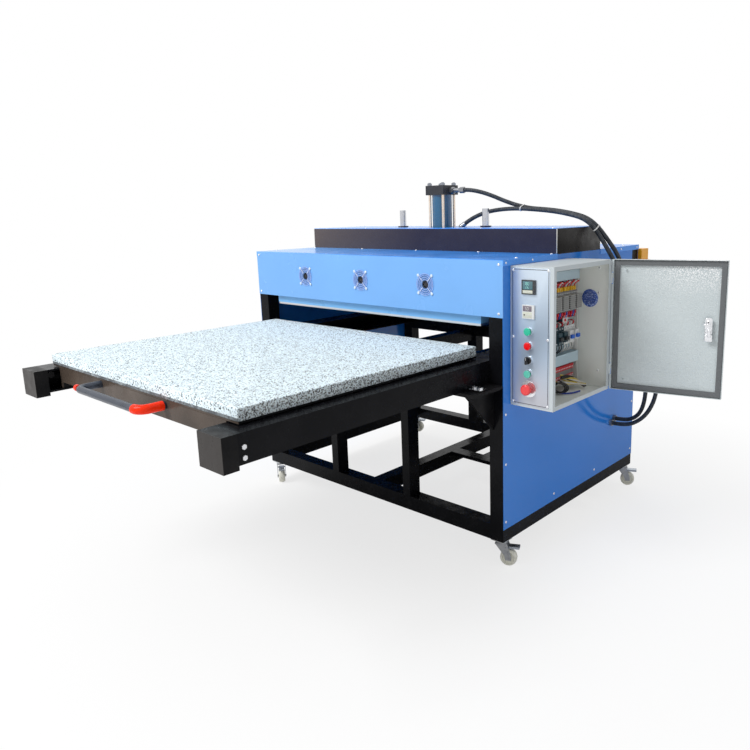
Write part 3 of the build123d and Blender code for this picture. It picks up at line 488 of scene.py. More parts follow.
end_sheets = []
for side in (-1, 1):
    end_sheets.append(plate((side * (HALF - 0.0004), side * (HALF + 0.0014)),
                            (BOX_FRONT - 0.0008, BOX_BACK + 0.0008),
                            (FRAME_TOP + 0.0022, BOX_TOP - 0.0022), end_black, 0.001, 0.0005, 0))
    end_sheets.append(plate((side * (HALF - 0.0014), side * (HALF + 0.0020)),
                            (BOX_FRONT - 0.0016, BOX_FRONT + 0.0002),
                            (FRAME_TOP + 0.0030, BOX_TOP - 0.0030), edge_bright, 0.0008, 0.0004, 0))
assemble("beam_end_sheets", end_sheets, "machine")

# Screws of the sheets: plated pan heads, 10 mm across, with a small recess that is a dark disc of painted
# shade. They stand in rows along the edges of the hood, the lid and the side sheets, with four smaller ones
# at each end of the hood's top.
SKIN, SHEET, DEPTH, HOOD_Z, RAIL_TOP = 0.717, 0.002, 1.055, 0.952, 0.165
FRONT, UP, RIGHT = (0, -1, 0), (0, 0, 1), (1, 0, 0)
screw_zinc = mottled("screw_zinc", 140, (0.80, 0.82, 0.86), (0.96, 0.97, 1.0), (0.15, 0.3), Metallic=0.55)
# Recesses are dark discs of painted shade.
recess_shade = plain("recess_shade", (0.03, 0.03, 0.03), 0.6)


def turn_about(centre, axis, profile, finish, around=28, capped=True):
    """A shape turned on a lathe. Each pair of the profile is a radius and a height. A point is the centre,
    plus the height along the axis, plus the radius times the cosine and sine of its angle square to it."""
    axis = np.asarray(axis, float) / np.linalg.norm(axis)
    one = np.cross(axis, (0.0, 0.0, 1.0) if abs(axis[2]) < 0.9 else (1.0, 0.0, 0.0))
    one /= np.linalg.norm(one)
    two = np.cross(axis, one)
    angle = np.linspace(0, 2 * math.pi, around, endpoint=False)
    ring = np.cos(angle)[:, None] * one + np.sin(angle)[:, None] * two
    profile = np.asarray(profile, float)
    rows = np.asarray(centre) + profile[:, 1, None, None] * axis + profile[:, 0, None, None] * ring
    return grid(rows, finish, capped)


def pan_head(centre, axis, radius=0.005, high=0.003, finish=screw_zinc):
    """Pan head of a screw: straight rim, a quarter of an ellipse to a small flat, and a dark disc of painted
    shade for its recess.
    """
    sweep = np.linspace(0, math.pi / 2, 5)
    dome = [(radius * (0.25 + 0.75 * math.cos(a)), high * (0.35 + 0.61 * math.sin(a))) for a in sweep]
    recess = [(radius * 0.24, high * 0.9), (radius * 0.2, high * 0.985)]
    return [turn_about(centre, axis, [(radius, 0.0)] + dome, finish, 16),
            turn_about(centre, axis, recess, recess_shade, 8)]


def pan_heads(spots, *kind):
    """Pan heads of a kind, given by radius, height and finish. Each spot is a place and the head's axis."""
    return [part for x, y, z, way in spots for part in pan_head(at(x, y, z), way, *kind)]


heads = []
edge = HALF - 0.015
for x in (-edge, edge):
    heads += [(x, -SHEET, z, FRONT) for z in (HOOD_Z + 0.014, FRAME_TOP - 0.014)]
    heads += [(x, y, FRAME_TOP + SHEET, UP) for y in (0.104, DEPTH - 0.115)]
heads += [(edge / 2 * i, y, FRAME_TOP + SHEET, UP) for i in range(-2, 3)
          for y in (BOX_FRONT - 0.013, BOX_BACK + 0.013)]
heads += [((HALF - 0.025) / 2 * i, y, BOX_TOP, UP) for i in (-2, -1, 1, 2)
          for y in (BOX_FRONT + 0.013, BOX_BACK - 0.013)]
for side in (-1, 1):
    spots = [(y, RAIL_TOP + 0.02) for y in (0.014, 0.350, 0.686)]
    spots += [(0.014, z) for z in (RAIL_TOP + 0.245, RAIL_TOP + 0.435)]
    spots += [(DEPTH - 0.017, z) for z in (RAIL_TOP + 0.02, RAIL_TOP + 0.255, RAIL_TOP + 0.49,
                                           HOOD_Z - 0.062)]
    heads += [(side * SKIN, y, z, (side, 0, 0)) for y, z in spots]
small_heads = [(side * (SKIN + SHEET), y, FRAME_TOP - 0.009, (side, 0, 0)) for side in (-1, 1)
               for y in (0.014, 0.180, DEPTH - 0.175, DEPTH - 0.020)]
assemble("panel_screws", pan_heads(heads) + pan_heads(small_heads, 0.004, 0.0025), "machine", ["screws"])

# The press cylinder stands on the head: a honed steel tube painted blue between two black square caps,
# pulled together by four yellow passivated tie rods with nuts.
NUTS_LOW = 1.4365
barrel_blue = Finish("barrel_blue", Coat_Weight=0.5, Coat_Roughness=0.08)
streak = barrel_blue.cloud(5, 3, 0.5, barrel_blue.place((8, 8, 0.4)))
barrel_blue.tint(streak, (0.006, 0.072, 0.145), (0.016, 0.145, 0.270))
barrel_blue.gloss(barrel_blue.cloud(30), 0.18, 0.32)
dress(barrel_blue, "cylinder_barrel")

passivated = mottled("passivated_rod", 45, (0.70, 0.55, 0.43), (0.97, 0.87, 0.76), (0.22, 0.4), Metallic=1.0)
dress(passivated.over(passivated.inside(Z=(NUTS_LOW, None)), (0.30, 0.32, 0.36)), "tie_rods")
dress(enamel("cap_black", (0.02, 0.02, 0.024), (0.06, 0.06, 0.065), 0.32, 0.4), "cylinder_caps")

# The hood draws air through three small axial fans. Each has a moulded frame that takes up the hood's
# blue, a turning rotor behind it and a bright wire guard held by four screws.
FAN_XS, FAN_Z, SCREW_OUT = (-0.358, 0.0, 0.358), FRAME_TOP - 0.1, 0.034
GUARD_BACK, RINGS_BACK = -0.0019, -0.0046
GUARD_HUB, ROTOR_HUB, ROTOR_CAP = 0.0168, 0.0160, 0.0065


def near_fan(finish, fan_x, radius):
    """1 within the radius of a fan's axis and 0 outside, where the squares of the distances off it along X
    and Z add up to less than the radius squared."""
    out_x, out_z = finish.across("X") - (fan_x + MIDDLE[0]), finish.across("Z") - FAN_Z
    return out_x * out_x + out_z * out_z < radius ** 2


fan_black = mottled("fan_black", 80, (0.12, 0.25, 0.50), (0.16, 0.30, 0.58), (0.22, 0.4),
                    Specular_IOR_Level=0.4)
guard = fan_black.inside(Y=(None, GUARD_BACK))
hubs = sum(near_fan(fan_black, fan_x, GUARD_HUB) for fan_x in FAN_XS)
wire_tone = fan_black.mix(fan_black.inside(Y=(None, RINGS_BACK)), (0.96, 0.98, 1.0), (0.42, 0.52, 0.86))
wire_tone = fan_black.mix(hubs * 0.94, wire_tone, (0.012, 0.012, 0.016))
dress(fan_black.over(guard, wire_tone).feed(Metallic=guard * 0.15), "hood_fans")
for which, fan_x in zip(("left", "middle", "right"), FAN_XS):
    rotor = mottled("rotor_" + which, 90, (0.16, 0.34, 0.72), (0.22, 0.42, 0.80), (0.3, 0.45),
                    Specular_IOR_Level=0.5)
    rotor.over(near_fan(rotor, fan_x, ROTOR_HUB), (0.010, 0.010, 0.012))
    dress(rotor.over(near_fan(rotor, fan_x, ROTOR_CAP), (0.085, 0.060, 0.045)), "fan_rotor_" + which)
head_pale = plain("head_pale", (0.80, 0.92, 1.0), 0.25, 0.2)
guard_heads = [(fan_x + dx, -0.0040, FAN_Z + dz, FRONT) for fan_x in FAN_XS
               for dx in (-SCREW_OUT, SCREW_OUT) for dz in (-SCREW_OUT, SCREW_OUT)]
assemble("guard_screws", pan_heads(guard_heads, 0.0058, 0.0030, head_pale), "machine")
mesh_blue = Finish("mesh_blue", Specular_IOR_Level=0.5)
holes = mesh_blue.cells(330.0, "Distance", mesh_blue.place((1, 0, 1)), 0.15)
mesh_blue.tint(mesh_blue.ramp(holes, 0.26, 0.34), (0.02, 0.04, 0.10), (0.15, 0.35, 0.74))
mesh_blue.gloss(mesh_blue.cloud(40), 0.25, 0.35)
disc = [(0.0150, 0.0), (0.0385, 0.0), (0.0385, 0.0008), (0.0150, 0.0008), (0.0150, 0.0)]
meshes = [turn_about(at(fan_x, -0.0006, FAN_Z), FRONT, disc, mesh_blue, 48, capped=False)
          for fan_x in FAN_XS]
assemble("guard_meshes", meshes, "machine")

# The pressing face is a 40 mm cast aluminium plate with milled edges. Above it are ground steel guide
# rods and the piston rod; the same ground steel is on the wheelsets.
dress(mottled("plate_aluminium", 14, (0.62, 0.63, 0.64), (0.84, 0.85, 0.86), (0.25, 0.45), 4, 0.6, (1, 1, 30),
              Metallic=1.0), "heat_plate")
dress(mottled("ground_steel", 60, (0.5, 0.51, 0.54), (0.74, 0.75, 0.78), (0.14, 0.28), stretch=(1, 1, 8),
              Metallic=1.0), "platen_rods", "wheelset_front", "wheelset_back")

# The table's top is a pad of pressed white fibres with grey and black chips in it, cut square. It lies on
# the table's plate. Its front edge is darker along its foot. Its right side is painted greyer, a painted
# shade, and more chips show on it.
PAD_LOW, PAD_HIGH = (np.array(corner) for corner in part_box("table_pad"))
BAND_TOP = 0.8135
felt = Finish("felt", Roughness=0.95, Specular_IOR_Level=0.2)
chips = felt.cells(185.0, "Color")
pick, pick_two = (felt.node("ShaderNodeSeparateColor", {}, {"Color": chips}, part)
                  for part in ("Red", "Green"))
fine = felt.node("ShaderNodeSeparateColor", {}, {"Color": felt.cells(330.0, "Color")}, "Blue")
near = felt.cells(185.0, "Distance")
dark_chip = (pick > 0.81) * felt.ramp(near, 0.46, 0.54, 1.0, 0.0)
grey_chip = (pick < 0.22) * felt.ramp(near, 0.35, 0.6, 1.0, 0.0)
right_side = felt.inside(X=(PAD_HIGH[0] - MIDDLE[0] - 0.0015, None), Z=(None, PAD_HIGH[2] - 0.0020))
front_band = felt.inside(Y=(None, PAD_LOW[1] - MIDDLE[1] + 0.0022), Z=(None, BAND_TOP))
fibres = felt.ramp(felt.cloud(240, 4, 0.7), 0.38, 0.62)
felt.tint(fibres, (0.72, 0.86, 0.96), (0.90, 1.0, 1.0))
felt.over(grey_chip * 0.7, (0.33, 0.37, 0.42))
felt.over((fine > 0.90) * 0.8, (0.10, 0.11, 0.14))
felt.over(dark_chip * felt.ramp(pick_two, 0.2, 0.6, 0.75, 1.0), (0.028, 0.029, 0.036))
# The right side is painted greyer: painted shade. The dark chips after it are the pad's own.
felt.over(right_side * 0.22, (0.34, 0.33, 0.33))
felt.over(right_side * (fine > 0.66) * 0.85, (0.050, 0.044, 0.042))
felt.over(front_band * felt.ramp(felt.cloud(26, 4, 0.6), 0.3, 0.6, 0.6, 0.95), (0.10, 0.105, 0.115))
felt.bump(felt.cloud(300, 4) + dark_chip * -0.3, 0.0012)
pad = assemble("felt_pad", [slab(PAD_LOW, PAD_HIGH, felt, 0.004, 0.003, steps=5)], "table", ["table_pad"])

# The table is pushed by a round steel handle, its blue-black finish rubbed grey, with a red rubber
# sleeve round its right corner and an end plug of the same red at the left.
dress(mottled("handle_grey", 22, (0.022, 0.028, 0.045), (0.075, 0.088, 0.115), (0.25, 0.4), 4, Metallic=0.35,
              Specular_IOR_Level=0.5), "handle")
grip_red = mottled("grip_red", 110, (0.88, 0.024, 0.002), (1.0, 0.040, 0.006), (0.2, 0.34),
                   Specular_IOR_Level=0.16)
dress(grip_red.bump(grip_red.cloud(60, 2), 0.0006), "handle_grips")


# The cabinet is folded 2 mm steel with a pale grey powder coat, painted lighter inside: painted light
# against the shade there. In it are a steel mounting plate, two slotted wire ducts and the rows of
# switchgear.
def powder(name, one, two, grains=330, depth=0.00035, gloss=0.42, level=0.45):
    """Powder coat: a pebbled skin, tone drifting a little over the sheet."""
    finish = Finish(name, Specular_IOR_Level=level)
    finish.tint(finish.cloud(5), one, two).gloss(finish.cloud(60), gloss - 0.06, gloss + 0.06)
    return finish.bump(finish.cloud(grains), depth)


CAB_FRONT, CAB_BACK = 0.045, 0.450
shell_grey = powder("shell_grey", (0.50, 0.55, 0.58), (0.57, 0.62, 0.64))
# The inside of the shell is painted lighter: painted light against the shade within.
within = shell_grey.inside(X=(0.718, 0.892), Y=(CAB_FRONT + 0.001, CAB_BACK - 0.001), Z=(0.633, 1.131))
dress(shell_grey.over(within, (0.86, 0.88, 0.84)), "control_box")
dress(powder("plate_blue_grey", (0.42, 0.55, 0.62), (0.50, 0.62, 0.69), 90, 0.0003), "mounting_plate")

# The control panel is a bright brushed sheet on the cabinet's front wall, edged with one black line and
# held by six screws. It carries two square instruments, three buttons, a selector and a stop button.
PANEL_X, LINE_WIDE = 0.795, 0.0019
SHEET_XS, SHEET_ZS, LINE_XS, LINE_ZS = (0.7225, 0.8775), (0.6400, 1.1260), (0.7260, 0.8740), (0.6440, 1.1220)
panel_metal = Finish("panel_metal", Metallic=0.55, Specular_IOR_Level=0.5)
brush = panel_metal.cloud(8, 4, 0.6, panel_metal.place((1, 1, 60)))
height = panel_metal.across("Z")
# Going up, the sheet is painted bluer and then lighter toward its top: a painted reflection of the room.
panel_metal.tint(panel_metal.ramp(height, 0.66, 0.82), (0.56, 0.57, 0.62), (0.45, 0.55, 0.68))
panel_metal.gloss(brush, 0.31, 0.37)
panel_metal.over(panel_metal.ramp(height, 0.90, 1.08), (0.64, 0.73, 0.83))
panel_metal.over(panel_metal.ramp(brush, 0.35, 0.65, 0.0, 0.08), (0.5, 0.56, 0.64))
line_black = plain("line_black", (0.015, 0.016, 0.022), 0.35)
rounds = []
for inset, corner in ((0.0, 0.008), (LINE_WIDE, 0.0062)):
    outline = plate((LINE_XS[0] + inset, LINE_XS[1] - inset), (CAB_FRONT - 0.0015, CAB_FRONT - 0.0011),
                    (LINE_ZS[0] + inset, LINE_ZS[1] - inset), line_black, corner, 0.00002, steps=6)[0]
    rounds.append(outline.reshape(12, -1, 3)[[0, -1]])
(outer_low, outer_high), (inner_low, inner_high) = rounds
panel = [grid([outer_high, outer_low, inner_low, inner_high, outer_high], line_black, capped=False),
         plate(SHEET_XS, (CAB_FRONT - 0.0012, CAB_FRONT + 0.0001), SHEET_ZS, panel_metal, 0.009, 0.0004,
               steps=5)]
panel += pan_heads([(x, CAB_FRONT - 0.0011, z, FRONT) for x in (0.7285, 0.8715)
                    for z in (0.648, 0.883, 1.118)], 0.0050, 0.0028)
assemble("control_panel", panel, "machine")

# Instruments: black and pale moulded bezels around a recessed window with figures of up to seven bars,
# over a row of keys.
UPPER, LOWER, METER_FRONT = 1.061, 0.976, CAB_FRONT - 0.008
BARS = {0: "abcdef", 1: "bc", 5: "afgcd", 6: "afgedc", 7: "abc", 8: "abcdefg"}
BAR_SPOTS = {"a": (0, 1, 1), "g": (0, 0.5, 1), "d": (0, 0, 1), "f": (0, 0.5, 0), "b": (1, 0.5, 0),
             "e": (0, 0, 0), "c": (1, 0, 0)}
bezel_pale = plain("bezel_pale", (0.66, 0.66, 0.63), 0.4)
glass_teal = mottled("glass_teal", 40, (0.055, 0.14, 0.17), (0.085, 0.20, 0.23), (0.12, 0.2), Coat_Weight=0.5,
                     Coat_Roughness=0.06, Specular_IOR_Level=0.6)
glass_plum = mottled("glass_plum", 40, (0.17, 0.14, 0.17), (0.23, 0.19, 0.22), (0.14, 0.24), Coat_Weight=0.4,
                     Coat_Roughness=0.08)
key_cream = plain("key_cream", (0.66, 0.68, 0.56), 0.4)
figure_green = plain("figure_green", (0.35, 0.85, 0.75), 0.3)
figure_dark = plain("figure_dark", (0.06, 0.05, 0.06), 0.4)


def figures(digits, x, z, tall, finish):
    """Figures made of bars. Each bar is a thin slab, upright or level, in its own place of the figure's box,
    which is tall by half as wide."""
    shapes = []
    front, wide, bar = METER_FRONT - 0.0004, tall * 0.5, tall * 0.12
    for place, digit in enumerate(digits):
        for over, up, level in (BAR_SPOTS[name] for name in BARS[digit]):
            left, foot = x + place * tall * 0.72 + over * wide, z + up * tall
            if level:
                xs, zs = (left + bar * 0.6, left + wide - bar * 0.6), (foot - bar / 2, foot + bar / 2)
            else:
                xs, zs = (left - bar / 2, left + bar / 2), (foot + bar * 0.6, foot + tall / 2 - bar * 0.6)
            shapes.append(plate(xs, (front - 0.0002, front + 0.0001), zs, finish, 0.0002, 0.00005, steps=2))
    return shapes


def on_meter(middle, xs, zs, out, finish, corner=0.001, rim=0.0003, back=0.001):
    """Thin plate on the instrument at this height. It stands out from the bezel's front."""
    return plate([PANEL_X + x for x in xs], (METER_FRONT - out, METER_FRONT + back),
                 [middle + z for z in zs], finish, corner, rim)


faces = [on_meter(UPPER, (-0.022, 0.018), (-0.0075, 0.0205), 0.0004, glass_teal),
         on_meter(UPPER, (-0.022, 0.018), (-0.021, -0.0105), 0.0006, key_cream, rim=0.0004)]
faces += figures([1, 8, 0], PANEL_X - 0.015, UPPER + 0.0075, 0.0095, figure_green)
faces += figures([1, 7, 5], PANEL_X - 0.013, UPPER - 0.0055, 0.0075, figure_green)
faces += [on_meter(LOWER, (-0.021, 0.015), (0.0015, 0.0205), 0.0004, glass_plum),
          on_meter(LOWER, (-0.021, 0.015), (-0.020, -0.001), 0.0006, key_cream, rim=0.0004)]
faces += figures([6, 0], PANEL_X - 0.010, LOWER + 0.006, 0.010, bezel_pale)
for i in range(4):
    key = (-0.0175 + 0.0085 * i, -0.0120 + 0.0085 * i)
    faces.append(on_meter(LOWER, key, (-0.0135, -0.0085), 0.0010, bezel_pale if i else figure_dark, 0.0008,
                          back=0.0))
    faces.append(on_meter(UPPER, key, (-0.0180, -0.0140), 0.0009, bezel_pale, 0.0008, back=0.0))
assemble("instrument_faces", faces, "machine")

# The bodies of the fittings behind and around the buttons: black behind the wall, silver rings in front,
# a pale bezel on the lower instrument, and the vent grille in the back wall, moulded in blue.
RINGS_TOP, VENT_FRONT = 0.94, 0.40
fitting = mottled("fitting_plastic", 60, (0.030, 0.032, 0.036), (0.055, 0.058, 0.064), (0.2, 0.34),
                  Specular_IOR_Level=0.5)
ring = fitting.inside(Y=(None, CAB_FRONT), Z=(None, RINGS_TOP))
grille = fitting.mix(fitting.ramp(fitting.cloud(150, 2), 0.52, 0.66), (0.075, 0.14, 0.46), (0.40, 0.50, 0.80))
fitting.over(ring, (0.80, 0.82, 0.85)).feed(Metallic=ring * 0.9)
fitting.over(fitting.inside(Y=(None, CAB_FRONT + 0.0001), Z=(0.949, 1.003)), (0.70, 0.71, 0.70))
dress(fitting.over(fitting.inside(Y=(VENT_FRONT, None)), grille), "panel_fittings")

# Buttons: domed lenses of coloured plastic, 28 mm across, that sit in the silver rings. The stop button
# is a 40 mm red mushroom with a dished top, and the selector a black lever on a knob with a white line.
STOP_Z, KNOB_Z = 0.701, 0.805
lens = {name: mottled(name, 90, shade(colour, 0.85), colour, (0.24, 0.36), Coat_Weight=0.35,
                      Coat_Roughness=0.12)
        for name, colour in (("green_lens", (0.03, 0.55, 0.34)), ("pale_green_lens", (0.12, 0.56, 0.44)),
                             ("red_lens", (0.86, 0.002, 0.006)), ("stop_red", (0.88, 0.045, 0.050)))}


def arc(radius, height, wide, tall):
    """Quarter of an ellipse on a profile: from its widest at that height round to its top."""
    return [(radius + wide * math.cos(a), height + tall * math.sin(a))
            for a in np.linspace(0, math.pi / 2, 7)]


cap = [(0.0098, -0.006), (0.0098, 0.0112), (0.0134, 0.0112), *arc(0.0120, 0.0136, 0.0018, 0.0016),
       (0.0070, 0.01555), (0.0, 0.01570)]
mushroom = [(0.0100, -0.005), (0.0100, 0.0142), (0.0165, 0.0146), (0.0196, 0.0165),
            *arc(0.0140, 0.0222, 0.0058, 0.0058), (0.0080, 0.0275), (0.0, 0.0271)]
for node, z, finish in (("green_button_upper", 0.907, "green_lens"), ("red_button", 0.856, "red_lens"),
                        ("green_button_lower", 0.756, "pale_green_lens")):
    assemble(node + "_lens", [turn_about(at(PANEL_X, CAB_FRONT, z), FRONT, cap, lens[finish])], node + "_cap",
             [node])
assemble("stop_mushroom", [turn_about(at(PANEL_X, CAB_FRONT, STOP_Z), FRONT, mushroom, lens["stop_red"], 40)],
         "stop_head", ["emergency_stop"])
black_plastic = plain("black_plastic", (0.018, 0.018, 0.02), 0.3)
line_white = plain("line_white", (0.8, 0.8, 0.8), 0.4)
knob = [(0.0098, -0.006), (0.0098, 0.0073), (0.0134, 0.0074), (0.0134, 0.0103), (0.0122, 0.0112)]
lever = [turn_about(at(PANEL_X, CAB_FRONT, KNOB_Z), FRONT, knob, black_plastic),
         plate((PANEL_X - 0.0045, PANEL_X + 0.0045), (CAB_FRONT - 0.0234, CAB_FRONT - 0.0080),
               (KNOB_Z - 0.0133, KNOB_Z + 0.0133), black_plastic, 0.003, 0.0015),
         plate((PANEL_X - 0.0008, PANEL_X + 0.0008), (CAB_FRONT - 0.0235, CAB_FRONT - 0.0225),
               (KNOB_Z + 0.002, KNOB_Z + 0.012), line_white, 0.0004, 0.0001)]
assemble("selector_lever", lever, "selector", ["selector_knob"])

# Switchgear on the mounting plate: five contactors, four circuit breakers, a relay and a row of
# terminals, clipped to rails. Their housings are grey, dark blue, white and black plastic.
PLATE_X, CONTACTOR_LOW, TERMINAL_TOP, PALE_FROM = 0.736, 0.930, 0.75, 0.300
gear = mottled("switchgear_plastic", 60, (0.012, 0.035, 0.048), (0.024, 0.058, 0.075), (0.34, 0.48), 4,
               Specular_IOR_Level=0.45)
ribs = gear.node("ShaderNodeTexWave", {"wave_type": "BANDS", "bands_direction": "Z"},
                 {"Vector": gear.place(), "Scale": 42.0})
gear.over(gear.inside(Z=(CONTACTOR_LOW, None)),
          gear.mix(gear.ramp(ribs, 0.3, 0.6), (0.16, 0.16, 0.16), (0.33, 0.33, 0.32)))
gear.over(gear.inside(Y=(PALE_FROM, None), Z=(0.80, 0.92)),
          gear.mix(gear.tone, (0.62, 0.63, 0.62), (0.72, 0.73, 0.72)))
gear.over(gear.inside(Z=(None, TERMINAL_TOP)), (0.17, 0.16, 0.16))
gear.over(gear.inside(Z=(0.715, TERMINAL_TOP)) + gear.inside(Z=(None, 0.697)), (0.48, 0.012, 0.02))
dress(gear.bump(gear.cloud(120), 0.0004), "switchgear")
cap_yellow = plain("cap_yellow", (1.0, 0.58, 0.03), 0.35)
wire_red = plain("wire_red", (0.66, 0.012, 0.022), 0.3)
wire_white = plain("wire_white", (0.74, 0.73, 0.70), 0.35)
wire_blue = plain("wire_blue", (0.02, 0.06, 0.40), 0.32)
toggle_blue = plain("toggle_blue", (0.02, 0.12, 0.58), 0.3)
nose_grey = plain("nose_grey", (0.30, 0.30, 0.29), 0.45)
details = []


def clip_on(out, ys, zs, finish, corner=0.0015, rim=0.0008):
    """Adds a slab between two distances out from the mounting plate. It faces the side."""
    details.append(plate([PLATE_X + reach for reach in out], ys, zs, finish, corner, rim, 0))


def screws_on(out, spots, radius, high):
    """Adds pan heads at that distance out from the mounting plate."""
    details.extend(pan_heads([(PLATE_X + out, y, z, RIGHT) for y, z in spots], radius, high))


contactor_ys = [0.341 - 0.04825 * i for i in range(5)]
breaker_ys = [0.342 - 0.040 * i for i in range(4)]
terminal_ys = [0.2558 + 0.012 * i for i in range(11)]
for y in contactor_ys:
    for i in range(3):
        side = y + 0.006 + 0.0135 * i
        clip_on((0.030, 0.048), (side, side + 0.0068), (1.0150, 1.0350), cap_yellow)
        screws_on(0.0500, [(side + 0.004, 1.0110), (side + 0.004, 0.9500)], 0.0030, 0.0014)
        clip_on((0.034, 0.050), (side, side + 0.0080), (0.9290, 0.9470), wire_blue if i == 1 else wire_red)
    for i in range(4):
        side = y + 0.0075 * i
        clip_on((0.0735, 0.0752), (side + 0.009, side + 0.0135), (0.958, 1.004), nose_grey, 0.0008, 0.0005)
for y in breaker_ys:
    clip_on((0.066, 0.0765), (y + 0.008, y + 0.030), (0.842, 0.856),
            toggle_blue if y > PALE_FROM else black_plastic, 0.002, 0.0015)
    screws_on(0.0460, [(y + side, z) for z in (0.826, 0.880) for side in (0.010, 0.028)], 0.0030, 0.0012)
screws_on(0.0420, [(y, z) for y in terminal_ys for z in (0.690, 0.722)], 0.0027, 0.0012)
clip_on((0.039, 0.0425), (0.303, 0.333), (0.899, 0.927), wire_white, 0.002, 0.001)
clip_on((0.042, 0.0450), (0.308, 0.318), (0.905, 0.915), wire_red, 0.001, 0.0008)
assemble("switchgear_details", details, "machine")

# Control wires: plastic covered, 5 to 7 mm thick. Red and white ones arch from the contactors into the
# upper duct, blue and red ones leave below, and a mixed bundle sweeps down to the cabinet's floor.
wire_black = plain("wire_black", (0.014, 0.014, 0.015), 0.35)
wire_yellow = plain("wire_yellow", (0.72, 0.55, 0.10), 0.35)
wires = []


def wire(points, radius, finish, out_from=0.0):
    """Adds a round wire along a smooth line. Its places are given across from the plane out_from."""
    former = smooth_line("wire", [(out_from + x, y, z) for x, y, z in points], 5)
    curve = former.data
    thicken(curve, radius, 1)
    made = bpy.data.meshes.new_from_object(former)
    wires.append((places_of(made), [list(face.vertices) for face in made.polygons], finish))
    bpy.data.objects.remove(former)
    bpy.data.meshes.remove(made)
    bpy.data.curves.remove(curve)


for n, y in enumerate(contactor_ys):
    for i, kind in enumerate((wire_red, wire_white, wire_red)):
        side = y + 0.010 + 0.0135 * i
        bent = side + 0.010 + 0.004 * ((n + i) % 3)
        wire([(0.039, side, 1.030), (0.043, side + 0.002, 1.044), (0.050, bent, 1.058 - 0.003 * i),
              (0.046, bent + 0.012, 1.050), (0.030, bent + 0.014, 1.046), (0.012, bent + 0.012, 1.058)],
             0.0026, kind, PLATE_X)
        wire([(0.042, side, 0.932), (0.046, side + 0.001, 0.922), (0.038, side + 0.006, 0.917),
              (0.022, side + 0.009, 0.917), (0.008, side + 0.008, 0.921)],
             0.0026, wire_blue if i == 1 else wire_red, PLATE_X)
for n, y in enumerate(breaker_ys):
    for i, kind in enumerate((wire_white, wire_red)):
        side = y + 0.010 + 0.018 * i
        wire([(0.040, side, 0.886), (0.048, side + 0.002, 0.897), (0.040, side + 0.005, 0.903),
              (0.022, side + 0.006, 0.902), (0.008, side + 0.006, 0.896)], 0.0024, kind, PLATE_X)
        wire([(0.040, side, 0.820), (0.046, side + 0.001, 0.808), (0.036, side + 0.003, 0.795),
              (0.022, side + 0.004, 0.782)], 0.0024, wire_black if n > 1 else wire_white, PLATE_X)
for i, y in enumerate(terminal_ys):
    reach = 0.006 * (i % 3)
    wire([(0.030, y, 0.730), (0.036, y + 0.001, 0.740), (0.028, y + 0.002, 0.752)], 0.0023,
         wire_blue if i % 3 == 1 else wire_red, PLATE_X)
    wire([(0.026, y, 0.682), (0.040, y + 0.002, 0.672), (0.052, y + 0.020, 0.664 + reach / 2),
          (0.062 + reach, 0.372, 0.655), (0.078 + reach, 0.400, 0.645 + reach / 3)], 0.0024,
         (wire_white, wire_yellow, wire_white, wire_black)[i % 4], PLATE_X)
spine = [(0.776, 0.285, 0.695), (0.781, 0.318, 0.690), (0.786, 0.345, 0.683), (0.794, 0.367, 0.669),
         (0.805, 0.384, 0.656), (0.820, 0.400, 0.646)]
for i, kind in enumerate((wire_black, wire_yellow, wire_white, wire_yellow, wire_black)):
    turn = np.linspace(1.2 * i, 1.2 * i + 6, 6)
    wire([(x + math.cos(a) * 0.0065, y, z + math.sin(a) * 0.0065) for (x, y, z), a in zip(spine, turn)],
         0.0036, kind)
for k in range(3):
    loop = [(0.792 + 0.004 * k + 0.026 * math.cos(a), 0.245 + 0.006 * k + 0.012 * math.cos(a),
             0.662 + 0.020 * math.sin(a)) for a in np.linspace(-2.6, 3.4, 9)]
    wire([(0.764, 0.262, 0.688), *loop], 0.0030, wire_black)
wire([(0.790, 0.258, 0.640), (0.812, 0.270, 0.638), (0.830, 0.300, 0.638), (0.838, 0.330, 0.640)], 0.0032,
     wire_blue)
for x in (0.020 + 0.00525 * i for i in range(4)):
    wire([(x, 0.4145, 1.090), (x, 0.4150, 0.98), (x + 0.001, 0.4155, 0.84), (x, 0.4145, 0.72),
          (x + 0.006, 0.417, 0.640)], 0.0024, wire_white, PLATE_X)
assemble("wire_set", wires, "machine", ["control_wires"], crease=60)

# Three pan head screws show on the inner back wall of the cabinet. They fix it to the machine, and are
# plated like those of the sheets.
wall = [(x, CAB_BACK - 0.0021, z, FRONT) for x, z in ((0.846, 1.100), (0.846, 1.004), (0.848, 0.700))]
assemble("wall_screws", pan_heads(wall, 0.0045, 0.0028), "machine")

# The vent's moulded flange and bars show inside the cabinet. A folded grey strip fills the slot beside
# the hinge, behind the back wall.
VENT_X, VENT_Z, VENT_BACK, VENT_R, BAR_APART = 0.808, 0.981, CAB_BACK - 0.002, 0.0265, 0.0075
vent_blue = Finish("vent_blue", Specular_IOR_Level=0.5)
flecks = vent_blue.cloud(170)
vent_blue.tint(vent_blue.ramp(flecks, 0.54, 0.62), (0.075, 0.14, 0.46), (0.42, 0.52, 0.82))
vent_blue.gloss(flecks, 0.2, 0.34)
flange = [(0.0255, 0.0), (0.0345, 0.0), (0.0345, 0.0012), (0.0320, 0.0026), (0.0260, 0.0026), (0.0255, 0.0)]
vent = [turn_about(at(VENT_X, VENT_BACK, VENT_Z), FRONT, flange, vent_blue, 48, capped=False)]
for up in (BAR_APART * i for i in range(-3, 4)):
    half = math.sqrt(VENT_R ** 2 - up ** 2)
    vent.append(plate((VENT_X - half, VENT_X + half), (VENT_BACK - 0.0068, VENT_BACK - 0.0040),
                      (VENT_Z + up - 0.0012, VENT_Z + up + 0.0012), vent_blue, 0.001, 0.0005))
assemble("vent_flange", vent, "machine")
